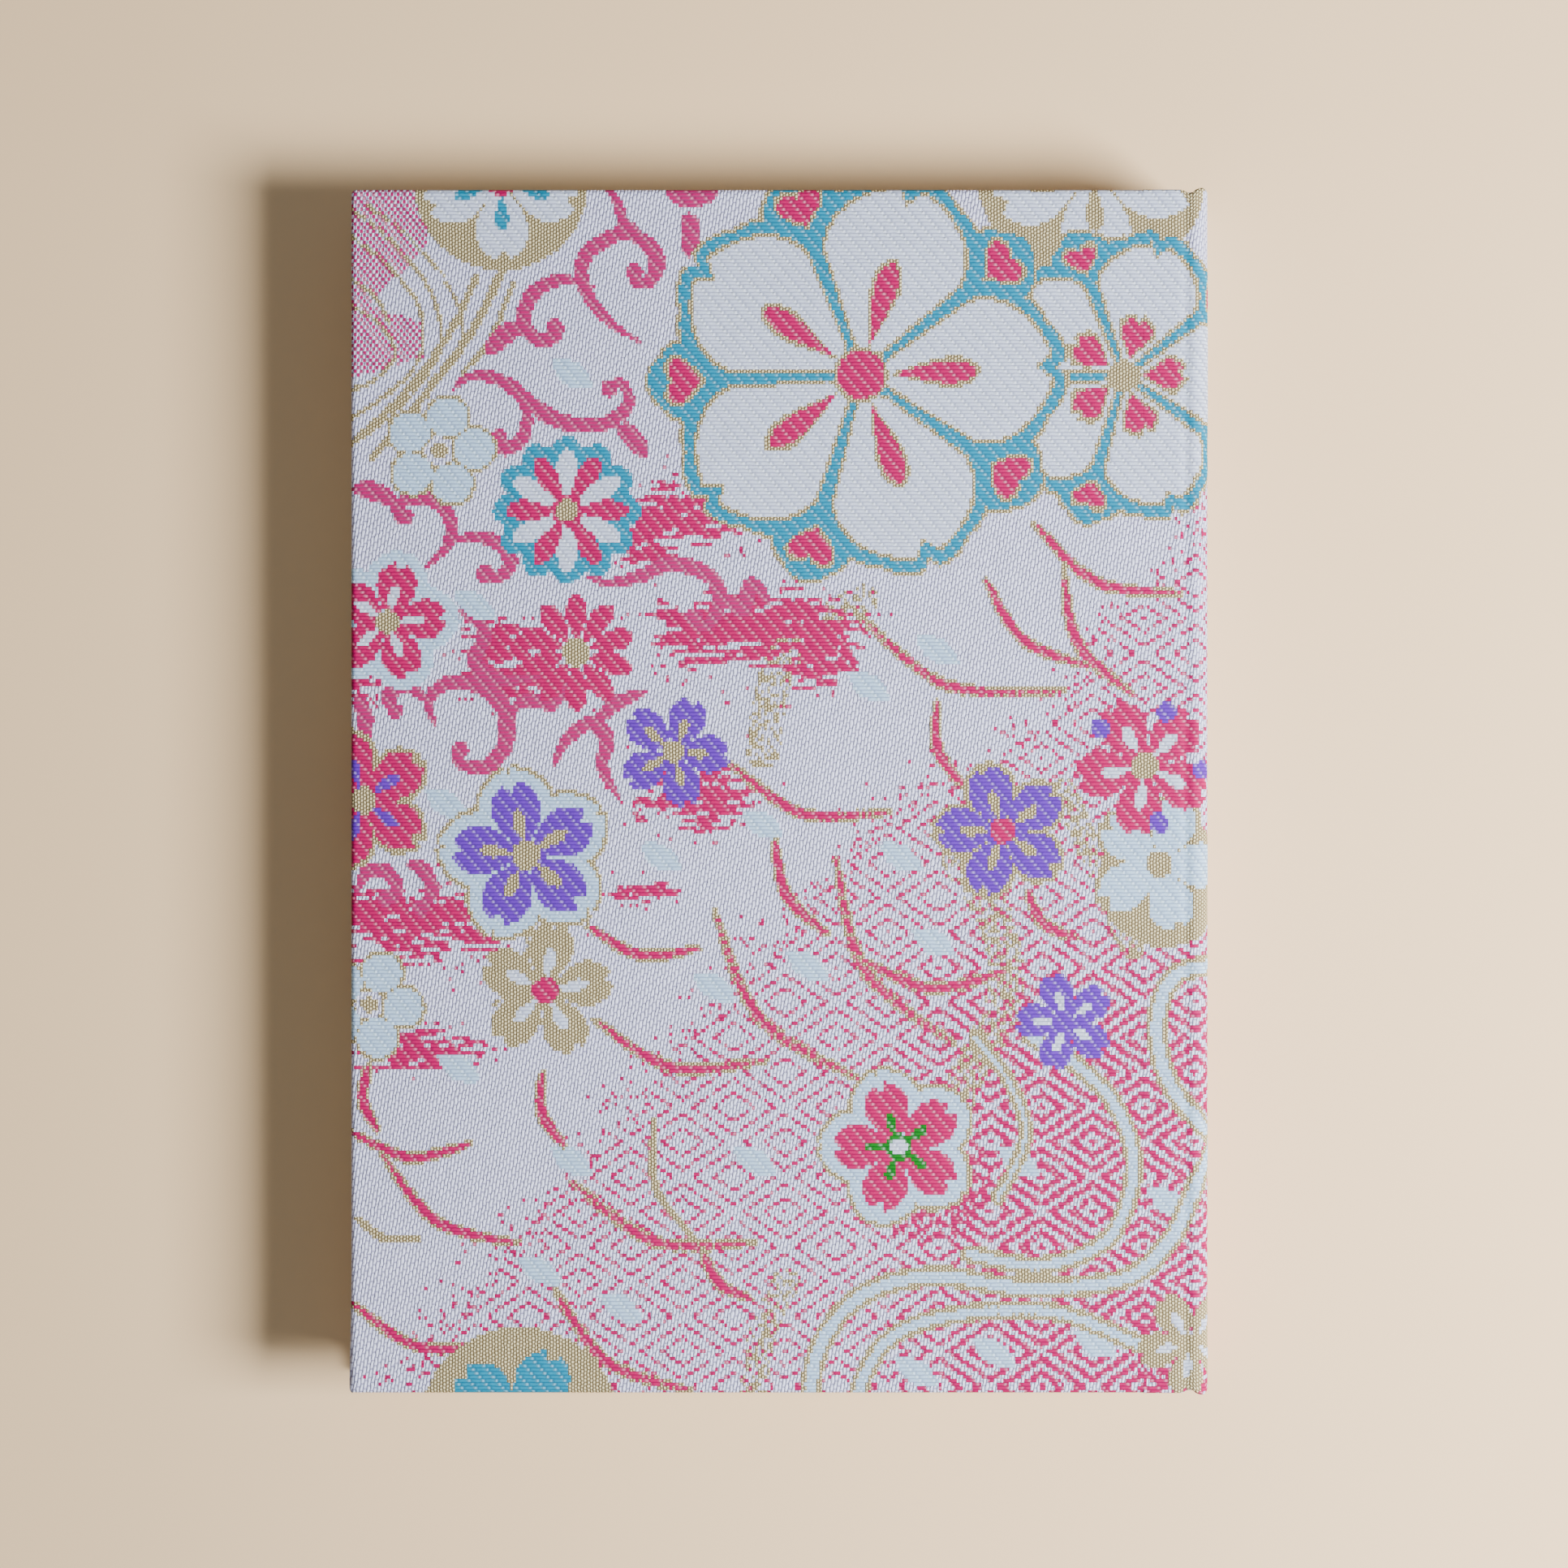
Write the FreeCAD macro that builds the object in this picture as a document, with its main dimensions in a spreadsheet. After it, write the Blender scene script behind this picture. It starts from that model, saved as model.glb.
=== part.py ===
import FreeCAD, Part
import Sketcher
import os

# A hard-bound cloth scrapbook album, closed and lying on its back cover.
# Millimetres.  +X runs from the fore-edge to the spine, +Y to the head and +Z up.
# The origin is under the middle of the album, on the surface that it lies on.
#
# The case is two greyboards and a flat spine board in one cloth.  The cloth rounds the two
# long joints between them as quarter circles, whose radius is a board in its two cloths, so
# that the inside of the spine lines up with the creases.  Card pages hang on linen guards,
# which are glued to the mull inside the spine.

SIZES = [
    ("album_width", 154.0, "fore-edge to the outside of the spine"),
    ("album_height", 216.0, "head to tail, outside"),
    ("cloth", 0.5, "lined brocade, which also turns in over the board edges"),
    ("board", 2.0, "greyboard of both covers and of the spine"),
    ("pastedown", 0.2, "endpaper glued inside each cover"),
    ("turn_in", 15.0, "width of the cloth glued inside the covers and the spine"),
    ("joint_gap", 0.3, "free gap at both ends of each joint cloth"),
    ("spine_gap", 0.2, "from the spine board's edge to the start of the joint"),
    ("lining", 0.3, "paper lining on the spine board"),
    ("mull", 0.2, "mull glued over the lining"),
    ("square", 3.0, "by how much the covers stand past the pages"),
    ("page", 0.8, "card page"),
    ("page_gap", 0.25, "air between neighbouring pages"),
    ("pages_per_side", 6, "pages that turn with each cover"),
    ("flyleaf", 0.3, "free endpaper"),
    ("cover_air", 0.15, "air between the pastedown and the flyleaf"),
    ("flyleaf_air", 0.2, "air between the flyleaf and the first page"),
    ("guard", 0.3, "linen guard that each page hangs on"),
    ("guard_clearance", 0.15, "from a page's rounded edge to its guard"),
    ("spacer_step", 0.05, "by how much a spacer stays behind the shorter guard"),
    ("glue_line", 0.5, "from the crease to the pastedown and the infill card"),
    ("band_radius", 1.0, "rolled headband and tailband"),
    ("band_clearance", 0.2, "from a band to the pages' edge"),
    ("band_inset", 0.1, "from the spine's turned-in cloth to a band"),
    ("band_air", 0.4, "from each cover's inner face to the end of a band"),
]

doc = FreeCAD.newDocument("scrapbook_album")
sheet = doc.addObject("Spreadsheet::Sheet", "Sizes")
for row, (alias, value, meaning) in enumerate(SIZES, start=1):
    sheet.set(f"A{row}", meaning)
    sheet.set(f"B{row}", str(value))
    sheet.setAlias(f"B{row}", alias)
doc.recompute()

PAGES_PER_SIDE = int(sheet.get("pages_per_side"))
PAGES = 2 * PAGES_PER_SIDE

# Places worked out from the sheet, as expressions.
FORE = "(-Sizes.album_width / 2)"
BACK = "(Sizes.album_width / 2)"
HEAD = "(Sizes.album_height / 2)"
CLOTH = "Sizes.cloth"
BOARD_TOP = "(Sizes.cloth + Sizes.board)"
INNER_TOP = "(2 * Sizes.cloth + Sizes.board)"
JOINT_RADIUS = INNER_TOP
CREASE = f"({BACK} - {JOINT_RADIUS})"
COVER_TOP = f"({INNER_TOP} + Sizes.pastedown)"
FLYLEAF_Z = f"({COVER_TOP} + Sizes.cover_air + Sizes.flyleaf / 2)"
FIRST_PAGE_Z = f"({FLYLEAF_Z} + Sizes.flyleaf / 2 + Sizes.flyleaf_air + Sizes.page / 2)"
PAGE_PITCH = "(Sizes.page + Sizes.page_gap)"
THICKNESS = f"(2 * {FIRST_PAGE_Z} + (2 * Sizes.pages_per_side - 1) * {PAGE_PITCH})"
WINDOW_Y = f"({HEAD} - Sizes.turn_in)"
PAGE_FORE = f"({FORE} + Sizes.square)"
PAGE_HEAD = f"({HEAD} - Sizes.square)"
PAPER_END = f"({CREASE} - Sizes.glue_line)"
SPINE_LOW = f"({JOINT_RADIUS} + Sizes.spine_gap)"
SPINE_BOARD_X = f"({BACK} - Sizes.cloth - Sizes.board)"
LINING_X = f"({SPINE_BOARD_X} - Sizes.lining)"
MULL_X = f"({LINING_X} - Sizes.mull)"
SPINE_TURN_IN_X = f"({SPINE_BOARD_X} - Sizes.cloth)"

nodes = []


def both_ways(half):
    """The span from minus half to half."""
    return f"-({half})", half


def block(name, x_span, y_span, z_span):
    """A box between three pairs of expressions."""
    box = doc.addObject("Part::Box", name)
    sides = (("Length", "x", x_span), ("Width", "y", y_span), ("Height", "z", z_span))
    for side, axis, (low, high) in sides:
        box.setExpression(side, f"({high}) - ({low})")
        box.setExpression(f"Placement.Base.{axis}", low)
    return box


def rod_along_y(name, radius, x, z, half_length):
    """A round bar along Y, about the line through x and z."""
    rod = doc.addObject("Part::Cylinder", name)
    rod.Placement.Rotation = FreeCAD.Rotation(FreeCAD.Vector(1, 0, 0), -90)
    rod.setExpression("Radius", radius)
    rod.setExpression("Height", f"2 * ({half_length})")
    rod.setExpression("Placement.Base.x", x)
    rod.setExpression("Placement.Base.y", f"-({half_length})")
    rod.setExpression("Placement.Base.z", z)
    return rod


def fused(name, shapes):
    """Several shapes as one."""
    fuse = doc.addObject("Part::MultiFuse", name)
    fuse.Shapes = shapes
    return fuse


def cut(name, base, tool):
    """A base with a tool taken away."""
    result = doc.addObject("Part::Cut", name)
    result.Base = base
    result.Tool = tool
    return result


def keep(item):
    """Note a finished piece, whose label is the name of its node."""
    nodes.append(item)
    return item


def at_side(side, low, high):
    """A span of heights above the outside of the back or the front cover."""
    if side == "back":
        return low, high
    return f"({THICKNESS} - ({high}))", f"({THICKNESS} - ({low}))"


def cover(side):
    """One cover: a board in its cloth, with an infill card and a pastedown inside."""
    board_head = f"({HEAD} - Sizes.cloth)"
    infill_fore = f"({FORE} + Sizes.turn_in)"
    board_fore = f"({FORE} + Sizes.cloth)"
    board_span = at_side(side, CLOTH, BOARD_TOP)
    turned_span = at_side(side, BOARD_TOP, INNER_TOP)

    keep(block(f"{side}_board", (board_fore, CREASE), both_ways(board_head), board_span))

    wrapped = block(f"{side}_cloth_block", (FORE, CREASE), both_ways(HEAD),
                    at_side(side, "0", INNER_TOP))
    past_crease = f"({CREASE} + Sizes.cloth)"
    board_space = block(f"{side}_board_space", (board_fore, past_crease),
                        both_ways(board_head), board_span)
    window = block(f"{side}_window", (infill_fore, past_crease), both_ways(WINDOW_Y),
                   at_side(side, f"({BOARD_TOP} - Sizes.board / 2)", f"({INNER_TOP} + Sizes.cloth)"))
    inside = fused(f"{side}_cloth_inside", [board_space, window])
    keep(cut(f"{side}_cover_cloth", wrapped, inside))

    keep(block(f"{side}_infill", (infill_fore, PAPER_END), both_ways(WINDOW_Y), turned_span))
    keep(block(f"{side}_pastedown", (PAGE_FORE, PAPER_END), both_ways(PAGE_HEAD),
               at_side(side, INNER_TOP, COVER_TOP)))


def joint_cloth(side):
    """The cloth of one long joint: a quarter tube, doubled where it turns in at head and tail."""
    centre_z, _ = at_side(side, JOINT_RADIUS, JOINT_RADIUS)
    reach = f"(2 * {HEAD})"
    tube = rod_along_y(f"{side}_joint_outside", JOINT_RADIUS, CREASE, centre_z, HEAD)
    single = rod_along_y(f"{side}_joint_inside", f"{JOINT_RADIUS} - Sizes.cloth",
                         CREASE, centre_z, WINDOW_Y)
    doubled = rod_along_y(f"{side}_joint_core", f"{JOINT_RADIUS} - 2 * Sizes.cloth",
                          CREASE, centre_z, reach)
    hollow = fused(f"{side}_joint_hollow", [single, doubled])
    ring = cut(f"{side}_joint_ring", tube, hollow)
    quarter = block(f"{side}_joint_quarter",
                    (f"({CREASE} + Sizes.joint_gap)", f"({BACK} + Sizes.cloth)"), both_ways(reach),
                    at_side(side, "(-Sizes.cloth)", f"({JOINT_RADIUS} - Sizes.joint_gap)"))
    cloth = doc.addObject("Part::Common", f"{side}_joint_cloth")
    cloth.Base = ring
    cloth.Tool = quarter
    return keep(cloth)


def spine():
    """The flat spine: its board in cloth, lined with paper and mull."""
    heights = (SPINE_LOW, f"({THICKNESS} - {SPINE_LOW})")
    board_head = f"({HEAD} - Sizes.cloth)"
    cloth_x = f"({BACK} - Sizes.cloth)"

    keep(block("spine_board", (SPINE_BOARD_X, cloth_x), both_ways(board_head), heights))

    wrapped = block("spine_cloth_block", (SPINE_TURN_IN_X, BACK), both_ways(HEAD), heights)
    past_edges = (f"({SPINE_LOW} - Sizes.cloth)", f"({THICKNESS} - {SPINE_LOW} + Sizes.cloth)")
    board_space = block("spine_board_space", (SPINE_BOARD_X, cloth_x),
                        both_ways(board_head), past_edges)
    window = block("spine_window",
                   (f"({SPINE_TURN_IN_X} - Sizes.cloth)", f"({cloth_x} - Sizes.board / 2)"),
                   both_ways(WINDOW_Y), past_edges)
    inside = fused("spine_cloth_inside", [board_space, window])
    keep(cut("spine_cloth", wrapped, inside))

    keep(block("spine_lining", (LINING_X, SPINE_BOARD_X), both_ways(WINDOW_Y), heights))
    keep(block("mull", (MULL_X, LINING_X), both_ways(WINDOW_Y), heights))


def page_height(number):
    """The height of a page's middle, counted from the back cover."""
    return f"({FIRST_PAGE_Z} + {number - 1} * {PAGE_PITCH})"


def leaf_hinge(height_in_its_half):
    """Where along X a leaf's hinge line lies, for its height above the nearer cover's outside.

    The leaf stands off the crease by that height less the joint radius, so that both halves of
    the open album lie at the heights that they have when it is closed.
    """
    return f"({CREASE} - ({height_in_its_half} - {JOINT_RADIUS}))"


def page_hinge(number):
    """Where along X a page's hinge line lies."""
    return leaf_hinge(page_height(min(number, PAGES + 1 - number)))


def leaf(name, thickness, hinge_x, height):
    """A flat leaf along Y whose inner edge is rounded about its hinge line."""
    body = doc.addObject("PartDesign::Body", name)
    body.setExpression("Placement.Base.x", hinge_x)
    body.setExpression("Placement.Base.z", height)

    upright = next(plane for plane in body.Origin.OriginFeatures if plane.Role == "XZ_Plane")
    sketch = body.newObject("Sketcher::SketchObject", f"{name}_section")
    sketch.AttachmentSupport = [(upright, "")]
    sketch.MapMode = "FlatFace"

    # The sketch starts at a rough size, and its constraints then set the real one.
    half, reach = 0.4, 140.0
    vector = FreeCAD.Vector
    circle = Part.Circle(vector(0, 0, 0), vector(0, 0, 1), half)
    quarter_turn = 1.5707963
    sketch.addGeometry(Part.ArcOfCircle(circle, -quarter_turn, quarter_turn))
    sketch.addGeometry(Part.LineSegment(vector(0, half, 0), vector(-reach, half, 0)))
    sketch.addGeometry(Part.LineSegment(vector(-reach, half, 0), vector(-reach, -half, 0)))
    sketch.addGeometry(Part.LineSegment(vector(-reach, -half, 0), vector(0, -half, 0)))

    arc, top, end, bottom = 0, 1, 2, 3
    start, finish, centre, origin = 1, 2, 3, (-1, 1)
    for constraint in (
        Sketcher.Constraint("Coincident", arc, centre, *origin),
        Sketcher.Constraint("Tangent", arc, finish, top, start),
        Sketcher.Constraint("Coincident", top, finish, end, start),
        Sketcher.Constraint("Coincident", end, finish, bottom, start),
        Sketcher.Constraint("Tangent", bottom, finish, arc, start),
        Sketcher.Constraint("Horizontal", top),
        Sketcher.Constraint("Horizontal", bottom),
        Sketcher.Constraint("Vertical", end),
    ):
        sketch.addConstraint(constraint)
    radius = sketch.addConstraint(Sketcher.Constraint("Radius", arc, half))
    sketch.setExpression(f"Constraints[{radius}]", f"({thickness}) / 2")
    length = sketch.addConstraint(Sketcher.Constraint("DistanceX", end, start, *origin, reach))
    sketch.setExpression(f"Constraints[{length}]", f"({hinge_x}) - ({PAGE_FORE})")

    pad = body.newObject("PartDesign::Pad", f"{name}_pad")
    pad.Profile = sketch
    pad.SideType = "Symmetric"
    pad.setExpression("Length", f"2 * {PAGE_HEAD}")
    body.Tip = pad
    return keep(body)


def pages():
    """The flyleaves, which fold with their pastedowns, and the pages, each on its own hinge."""
    for side in ("back", "front"):
        height, _ = at_side(side, FLYLEAF_Z, FLYLEAF_Z)
        leaf(f"{side}_flyleaf", "Sizes.flyleaf", leaf_hinge(FLYLEAF_Z), height)
    for number in range(1, PAGES + 1):
        leaf(f"page_{number:02d}", "Sizes.page", page_hinge(number), page_height(number))


def guard_edge(number):
    """Where along X a guard ends, just short of its page's rounded edge."""
    return f"({page_hinge(number)} + Sizes.page / 2 + Sizes.guard_clearance)"


def guards():
    """Linen guards on the mull, and the spacer strips that hold them a pitch apart."""
    half_guard = "Sizes.guard / 2"
    for number in range(1, PAGES + 1):
        middle = page_height(number)
        keep(block(f"guard_{number:02d}", (guard_edge(number), MULL_X), both_ways(WINDOW_Y),
                   (f"({middle} - {half_guard})", f"({middle} + {half_guard})")))
    strips = []
    for lower in range(1, PAGES):
        shorter_guard = lower if lower <= PAGES_PER_SIDE else lower + 1
        strips.append(block(f"spacer_{lower:02d}",
                            (f"({guard_edge(shorter_guard)} + Sizes.spacer_step)", MULL_X),
                            both_ways(WINDOW_Y),
                            (f"({page_height(lower)} + {half_guard})",
                             f"({page_height(lower + 1)} - {half_guard})")))
    spacers = doc.addObject("Part::Compound", "spacer_strips")
    spacers.Links = strips
    keep(spacers)


def end_band(name, end):
    """A rolled band at the head or the tail of the spine, just outside the pages."""
    band = doc.addObject("Part::Cylinder", name)
    low = f"({COVER_TOP} + Sizes.band_air)"
    away = f"({PAGE_HEAD} + Sizes.band_clearance + Sizes.band_radius)"
    band.setExpression("Radius", "Sizes.band_radius")
    band.setExpression("Height", f"{THICKNESS} - 2 * {low}")
    band.setExpression("Placement.Base.x",
                       f"{SPINE_TURN_IN_X} - Sizes.band_inset - Sizes.band_radius")
    band.setExpression("Placement.Base.y", f"{end} * {away}")
    band.setExpression("Placement.Base.z", low)
    keep(band)


cover("back")
cover("front")
joint_cloth("back")
joint_cloth("front")
spine()
guards()
pages()
end_band("headband", 1)
end_band("tailband", -1)
doc.recompute()

for item in doc.Objects:
    bad = [state for state in item.State if state in ("Invalid", "Error")]
    if bad:
        raise RuntimeError(f"{item.Label} is {bad}")
for node in nodes:
    if node.Shape.isNull() or not node.Shape.isValid():
        raise RuntimeError(f"{node.Label} has no valid shape")
    if node.Shape.Volume <= 0:
        raise RuntimeError(f"{node.Label} is empty")

os.makedirs("parts", exist_ok=True)
for node in nodes:
    node.Shape.exportStep(f"parts/{node.Label}.step")
print(f"{len(nodes)} nodes, {sheet.get('album_width')} x {sheet.get('album_height')}")
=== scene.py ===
import math

import bpy
import numpy as np
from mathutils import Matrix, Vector

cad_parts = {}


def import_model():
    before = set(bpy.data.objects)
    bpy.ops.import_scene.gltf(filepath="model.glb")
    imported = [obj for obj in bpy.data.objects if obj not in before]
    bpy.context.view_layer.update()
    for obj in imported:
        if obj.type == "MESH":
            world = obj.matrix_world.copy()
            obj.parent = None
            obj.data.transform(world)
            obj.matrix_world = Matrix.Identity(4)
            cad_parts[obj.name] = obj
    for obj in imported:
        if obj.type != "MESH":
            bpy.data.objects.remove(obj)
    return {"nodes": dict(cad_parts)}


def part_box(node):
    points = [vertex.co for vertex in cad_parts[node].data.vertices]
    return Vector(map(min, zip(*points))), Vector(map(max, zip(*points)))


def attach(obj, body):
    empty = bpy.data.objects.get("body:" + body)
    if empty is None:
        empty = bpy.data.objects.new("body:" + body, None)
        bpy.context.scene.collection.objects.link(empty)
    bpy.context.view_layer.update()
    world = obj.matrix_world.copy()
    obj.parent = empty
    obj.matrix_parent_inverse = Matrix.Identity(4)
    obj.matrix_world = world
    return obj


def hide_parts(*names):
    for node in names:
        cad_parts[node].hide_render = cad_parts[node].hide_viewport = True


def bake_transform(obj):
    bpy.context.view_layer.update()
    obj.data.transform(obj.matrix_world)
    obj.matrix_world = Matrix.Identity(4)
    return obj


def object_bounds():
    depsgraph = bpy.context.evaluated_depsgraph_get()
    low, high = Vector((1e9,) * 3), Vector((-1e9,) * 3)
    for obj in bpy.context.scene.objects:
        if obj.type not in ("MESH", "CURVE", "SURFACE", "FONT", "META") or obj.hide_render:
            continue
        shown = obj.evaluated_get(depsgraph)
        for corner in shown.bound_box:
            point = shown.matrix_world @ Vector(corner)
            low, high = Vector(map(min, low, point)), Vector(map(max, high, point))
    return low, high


# A scrapbook album bound in figured brocade.  Lengths are millimetres until a mesh is made.
# The cloth has its own flat coordinates: u runs from the front cover's fore-edge over the
# spine to the back cover's fore-edge, and v runs from head to tail.

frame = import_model()
cad_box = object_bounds()

MM = 0.001


def box_mm(node):
    """The lowest and highest corner of a CAD node, in millimetres."""
    low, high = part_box(node)
    return np.array(low) / MM, np.array(high) / MM


# ---------------------------------------------------------------- sizes from the frame
FORE, TAIL, _ = (value / MM for value in cad_box[0])
BACK, HEAD, TOP = (value / MM for value in cad_box[1])
CREASE = box_mm("front_board")[1][0]
CLOTH = TOP - box_mm("front_board")[1][2]
COVER = TOP - box_mm("front_cover_cloth")[0][2]
JOINT = BACK - CREASE
SQUARE = HEAD - box_mm("page_01")[1][1]

JOINT_LENGTH = math.pi / 2 * JOINT
SPINE_FLAT = TOP - 2 * JOINT
U_CREASE = CREASE - FORE
U_SPINE = U_CREASE + JOINT_LENGTH
U_SPINE_END = U_SPINE + SPINE_FLAT
U_BACK_CREASE = U_SPINE_END + JOINT_LENGTH
U_END = U_BACK_CREASE + U_CREASE
V_END = HEAD - TAIL

# ---------------------------------------------------------------- the woven design
CELL_U = U_CREASE / 275  # one step of the design across the cloth
PICK = V_END / 327  # one step of the design down the cloth: a pair of weft threads

# Each yarn: its colour, how it floats (in weft rows, as satin or as small gold dots), how much
# ground shows between its rows, and how far it stands above the ground.
YARNS = {
    "ground": ((226, 230, 255), (0, 1, 0), 0.0, 0.00),
    "white": ((224, 238, 255), (1, 0, 0), 0.0, 0.09),
    "pink": ((206, 0, 100), (1, 0, 0), 0.0, 0.07),
    "stripe": ((198, 0, 106), (1, 0, 0), 0.12, 0.05),
    "teal": ((0, 154, 186), (1, 0, 0), 0.0, 0.06),
    "purple": ((112, 44, 196), (1, 0, 0), 0.0, 0.07),
    "gold": ((238, 226, 176), (0, 0, 1), 0.0, 0.02),
    "leaf": ((196, 232, 255), (1, 0, 0), 0.0, 0.06),
    "green": ((0, 132, 26), (1, 0, 0), 0.0, 0.08),
    "dash": ((198, 0, 98), (1, 0, 0), 0.0, 0.02),
}
YARN_NAMES = list(YARNS)


def chance(i, j, seed=0.0):
    """A number from 0 to 1 for each cell, always the same for the same cell."""
    wave = np.sin(i * 12.9898 + j * 78.233 + seed * 37.719) * 43758.5453
    return wave - np.floor(wave)


def streaks(u, v, length, seed):
    """Noise that is drawn out along the weft and changes from pick to pick."""
    row = np.floor(v / PICK)
    at = u / length + 17.0 * chance(row, row * 0 + 3, seed)
    left = np.floor(at)
    part = at - left
    part = part * part * (3 - 2 * part)
    return chance(left, row, seed) * (1 - part) + chance(left + 1, row, seed) * part


def curve_through(points, per_span=14):
    """Points along a smooth curve through the given ones."""
    p = np.array([points[0], *points, points[-1]], float)
    t = np.linspace(0, 1, per_span, endpoint=False)[:, None]
    spans = []
    for a, b, c, d in zip(p[:-3], p[1:-2], p[2:-1], p[3:]):
        spans.append(0.5 * (2 * b + (c - a) * t + (2 * a - 5 * b + 4 * c - d) * t ** 2
                            + (3 * b - a - 3 * c + d) * t ** 3))
    return np.vstack([*spans, p[-1:]])


class Design:
    """The cells of a stretch of cloth, and the yarn that shows in each."""

    def __init__(self, u, v):
        self.u, self.v = u, v
        self.column, self.row = np.floor(u / CELL_U), np.floor(v / PICK)
        self.yarn = np.full(u.shape, YARN_NAMES.index("ground"))

    def paint(self, where, yarn):
        self.yarn[where] = YARN_NAMES.index(yarn)

    def along(self, centre, angle):
        """Coordinates along and across a direction, given clockwise from the head."""
        du, dv = self.u - centre[0], self.v - centre[1]
        turn = math.radians(angle)
        return du * math.sin(turn) - dv * math.cos(turn), du * math.cos(turn) + dv * math.sin(turn)

    def disc(self, centre, radius):
        return (self.u - centre[0]) ** 2 + (self.v - centre[1]) ** 2 < radius ** 2

    def petal(self, centre, angle, base, reach, width, grow=0.0, notch=0.0, skew=1.35, blunt=0.6,
              apart=None):
        """A petal from base to reach, widest past its middle, with a notch in its tip.

        Where apart is given, the petal stays that far from the lines to its four neighbours'.
        """
        along, across = self.along(centre, angle)
        share = np.clip((along - base + grow) / (reach - base + 2 * grow), 0, 1)
        half = (width / 2 + grow) * np.sin(np.pi * share ** skew) ** blunt
        if apart is not None:
            half = np.minimum(half, along * math.tan(math.pi / 5) - apart - 0.06 * along)
        inside = (share > 0) & (share < 1) & (np.abs(across) < half)
        if notch:
            past = along - (reach + grow - notch)
            inside &= ~((past > 0) & (np.abs(across + 0.12 * notch) < 0.75 * past))
        return inside

    def spot(self, centre, radius, yarn):
        self.paint(self.disc(centre, radius), yarn)

    def heart(self, centre, angle, distance, size, grow=0.0):
        """A heart whose tip points to the centre."""
        along, across = self.along(centre, angle)
        y = (along - distance) / (0.78 * size + grow)
        x = across / (1.22 * size + grow)
        return x * x + (y - 0.85 * np.sqrt(np.abs(x)) + 0.35) ** 2 < 1

    def stroke(self, points, width, grow=0.0, taper=True):
        """A brush stroke along a curve, with its share along it for each cell it covers."""
        line = curve_through(points)
        reach = width / 2 + grow
        low, high = line.min(0) - reach, line.max(0) + reach
        near = np.flatnonzero((self.u > low[0]) & (self.u < high[0])
                              & (self.v > low[1]) & (self.v < high[1]))
        gap = np.hypot(self.u[near, None] - line[:, 0], self.v[near, None] - line[:, 1])
        nearest = gap.argmin(1)
        share = nearest / (len(line) - 1)
        half = width / 2 * (np.sin(np.pi * np.clip(share, 0.02, 0.98)) ** 0.5 if taper else 1.0) + grow
        return near[gap[np.arange(len(near)), nearest] < half]


def big_blossom(design, centre, reach, turn, stamen):
    """A double blossom: notched white petals on a scalloped teal ground with hearts between."""
    angles = [turn + 72 * k for k in range(5)]
    petal = dict(base=0.09 * reach, reach=0.905 * reach, width=0.66 * reach, skew=1.4)
    du, dv = design.u - centre[0], design.v - centre[1]
    scallop = 0.7 * np.abs(np.sin(12.5 * (np.arctan2(du, -dv) - math.radians(turn)))) - 0.3
    for yarn, grow in (("gold", 3.1), ("teal", 2.4)):
        for angle in angles:
            outline = design.petal(centre, angle, grow=grow + scallop, notch=0.05 * reach, **petal)
            between = math.radians(angle + 36)
            hub = (centre[0] + 0.815 * reach * math.sin(between),
                   centre[1] - 0.815 * reach * math.cos(between))
            lobe = design.disc(hub, 0.125 * reach + grow - 0.4 + scallop)
            design.paint(outline | lobe, yarn)
    for angle in angles:
        design.paint(design.petal(centre, angle, grow=0.75, notch=0.085 * reach, apart=0.3, **petal),
                     "gold")
    for angle in angles:
        design.paint(design.petal(centre, angle, notch=0.085 * reach, apart=1.05, **petal), "white")
    for angle in angles:
        heart_size = 0.086 * reach
        design.paint(design.heart(centre, angle + 36, 0.835 * reach, heart_size, 0.75), "gold")
        design.paint(design.heart(centre, angle + 36, 0.835 * reach, heart_size), "pink")
        design.paint(design.petal(centre, angle, grow=0.85, **stamen), "gold")
        design.paint(design.petal(centre, angle, **stamen), "pink")


def blossom(design, centre, reach, yarn, turn=0.0, petals=5, notch=0.16, width=1.02, rim=None,
            halo=None, eye="gold", stamens="gold", eye_size=0.19):
    """A small blossom, with a halo and a rim where it has them, and stamens on its petals."""
    angles = [turn + 360 / petals * k for k in range(petals)]
    shape = dict(base=0.06 * reach, reach=reach, width=width * reach * 5 / petals * 0.64)
    layers = []
    if rim:
        layers.append((rim, (2.9 if halo else 0.9)))
    if halo:
        layers.append((halo, 2.1))
    layers.append((yarn, 0.0))
    for layer, grow in layers:
        for angle in angles:
            cut = notch * reach if layer == yarn and notch else 0.5 * notch * reach
            design.paint(design.petal(centre, angle, grow=grow, notch=cut, **shape), layer)
    if stamens:
        for angle in angles:
            design.paint(design.petal(centre, angle, 0.15 * reach, 0.62 * reach, 0.17 * reach,
                                      skew=1.7), stamens)
    design.spot(centre, eye_size * reach, eye)


def plum(design, centre, reach, turn, rim):
    """A plum blossom: five round petals with a thin rim round each."""
    for yarn, grow in ((rim, 0.55), ("leaf", -0.1)):
        for k in range(5):
            angle = math.radians(turn + 72 * k)
            hub = (centre[0] + 0.6 * reach * math.sin(angle), centre[1] - 0.6 * reach * math.cos(angle))
            design.spot(hub, 0.355 * reach + grow, yarn)
    design.spot(centre, 0.24 * reach, "ground")
    design.spot(centre, 0.15 * reach, rim)


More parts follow.
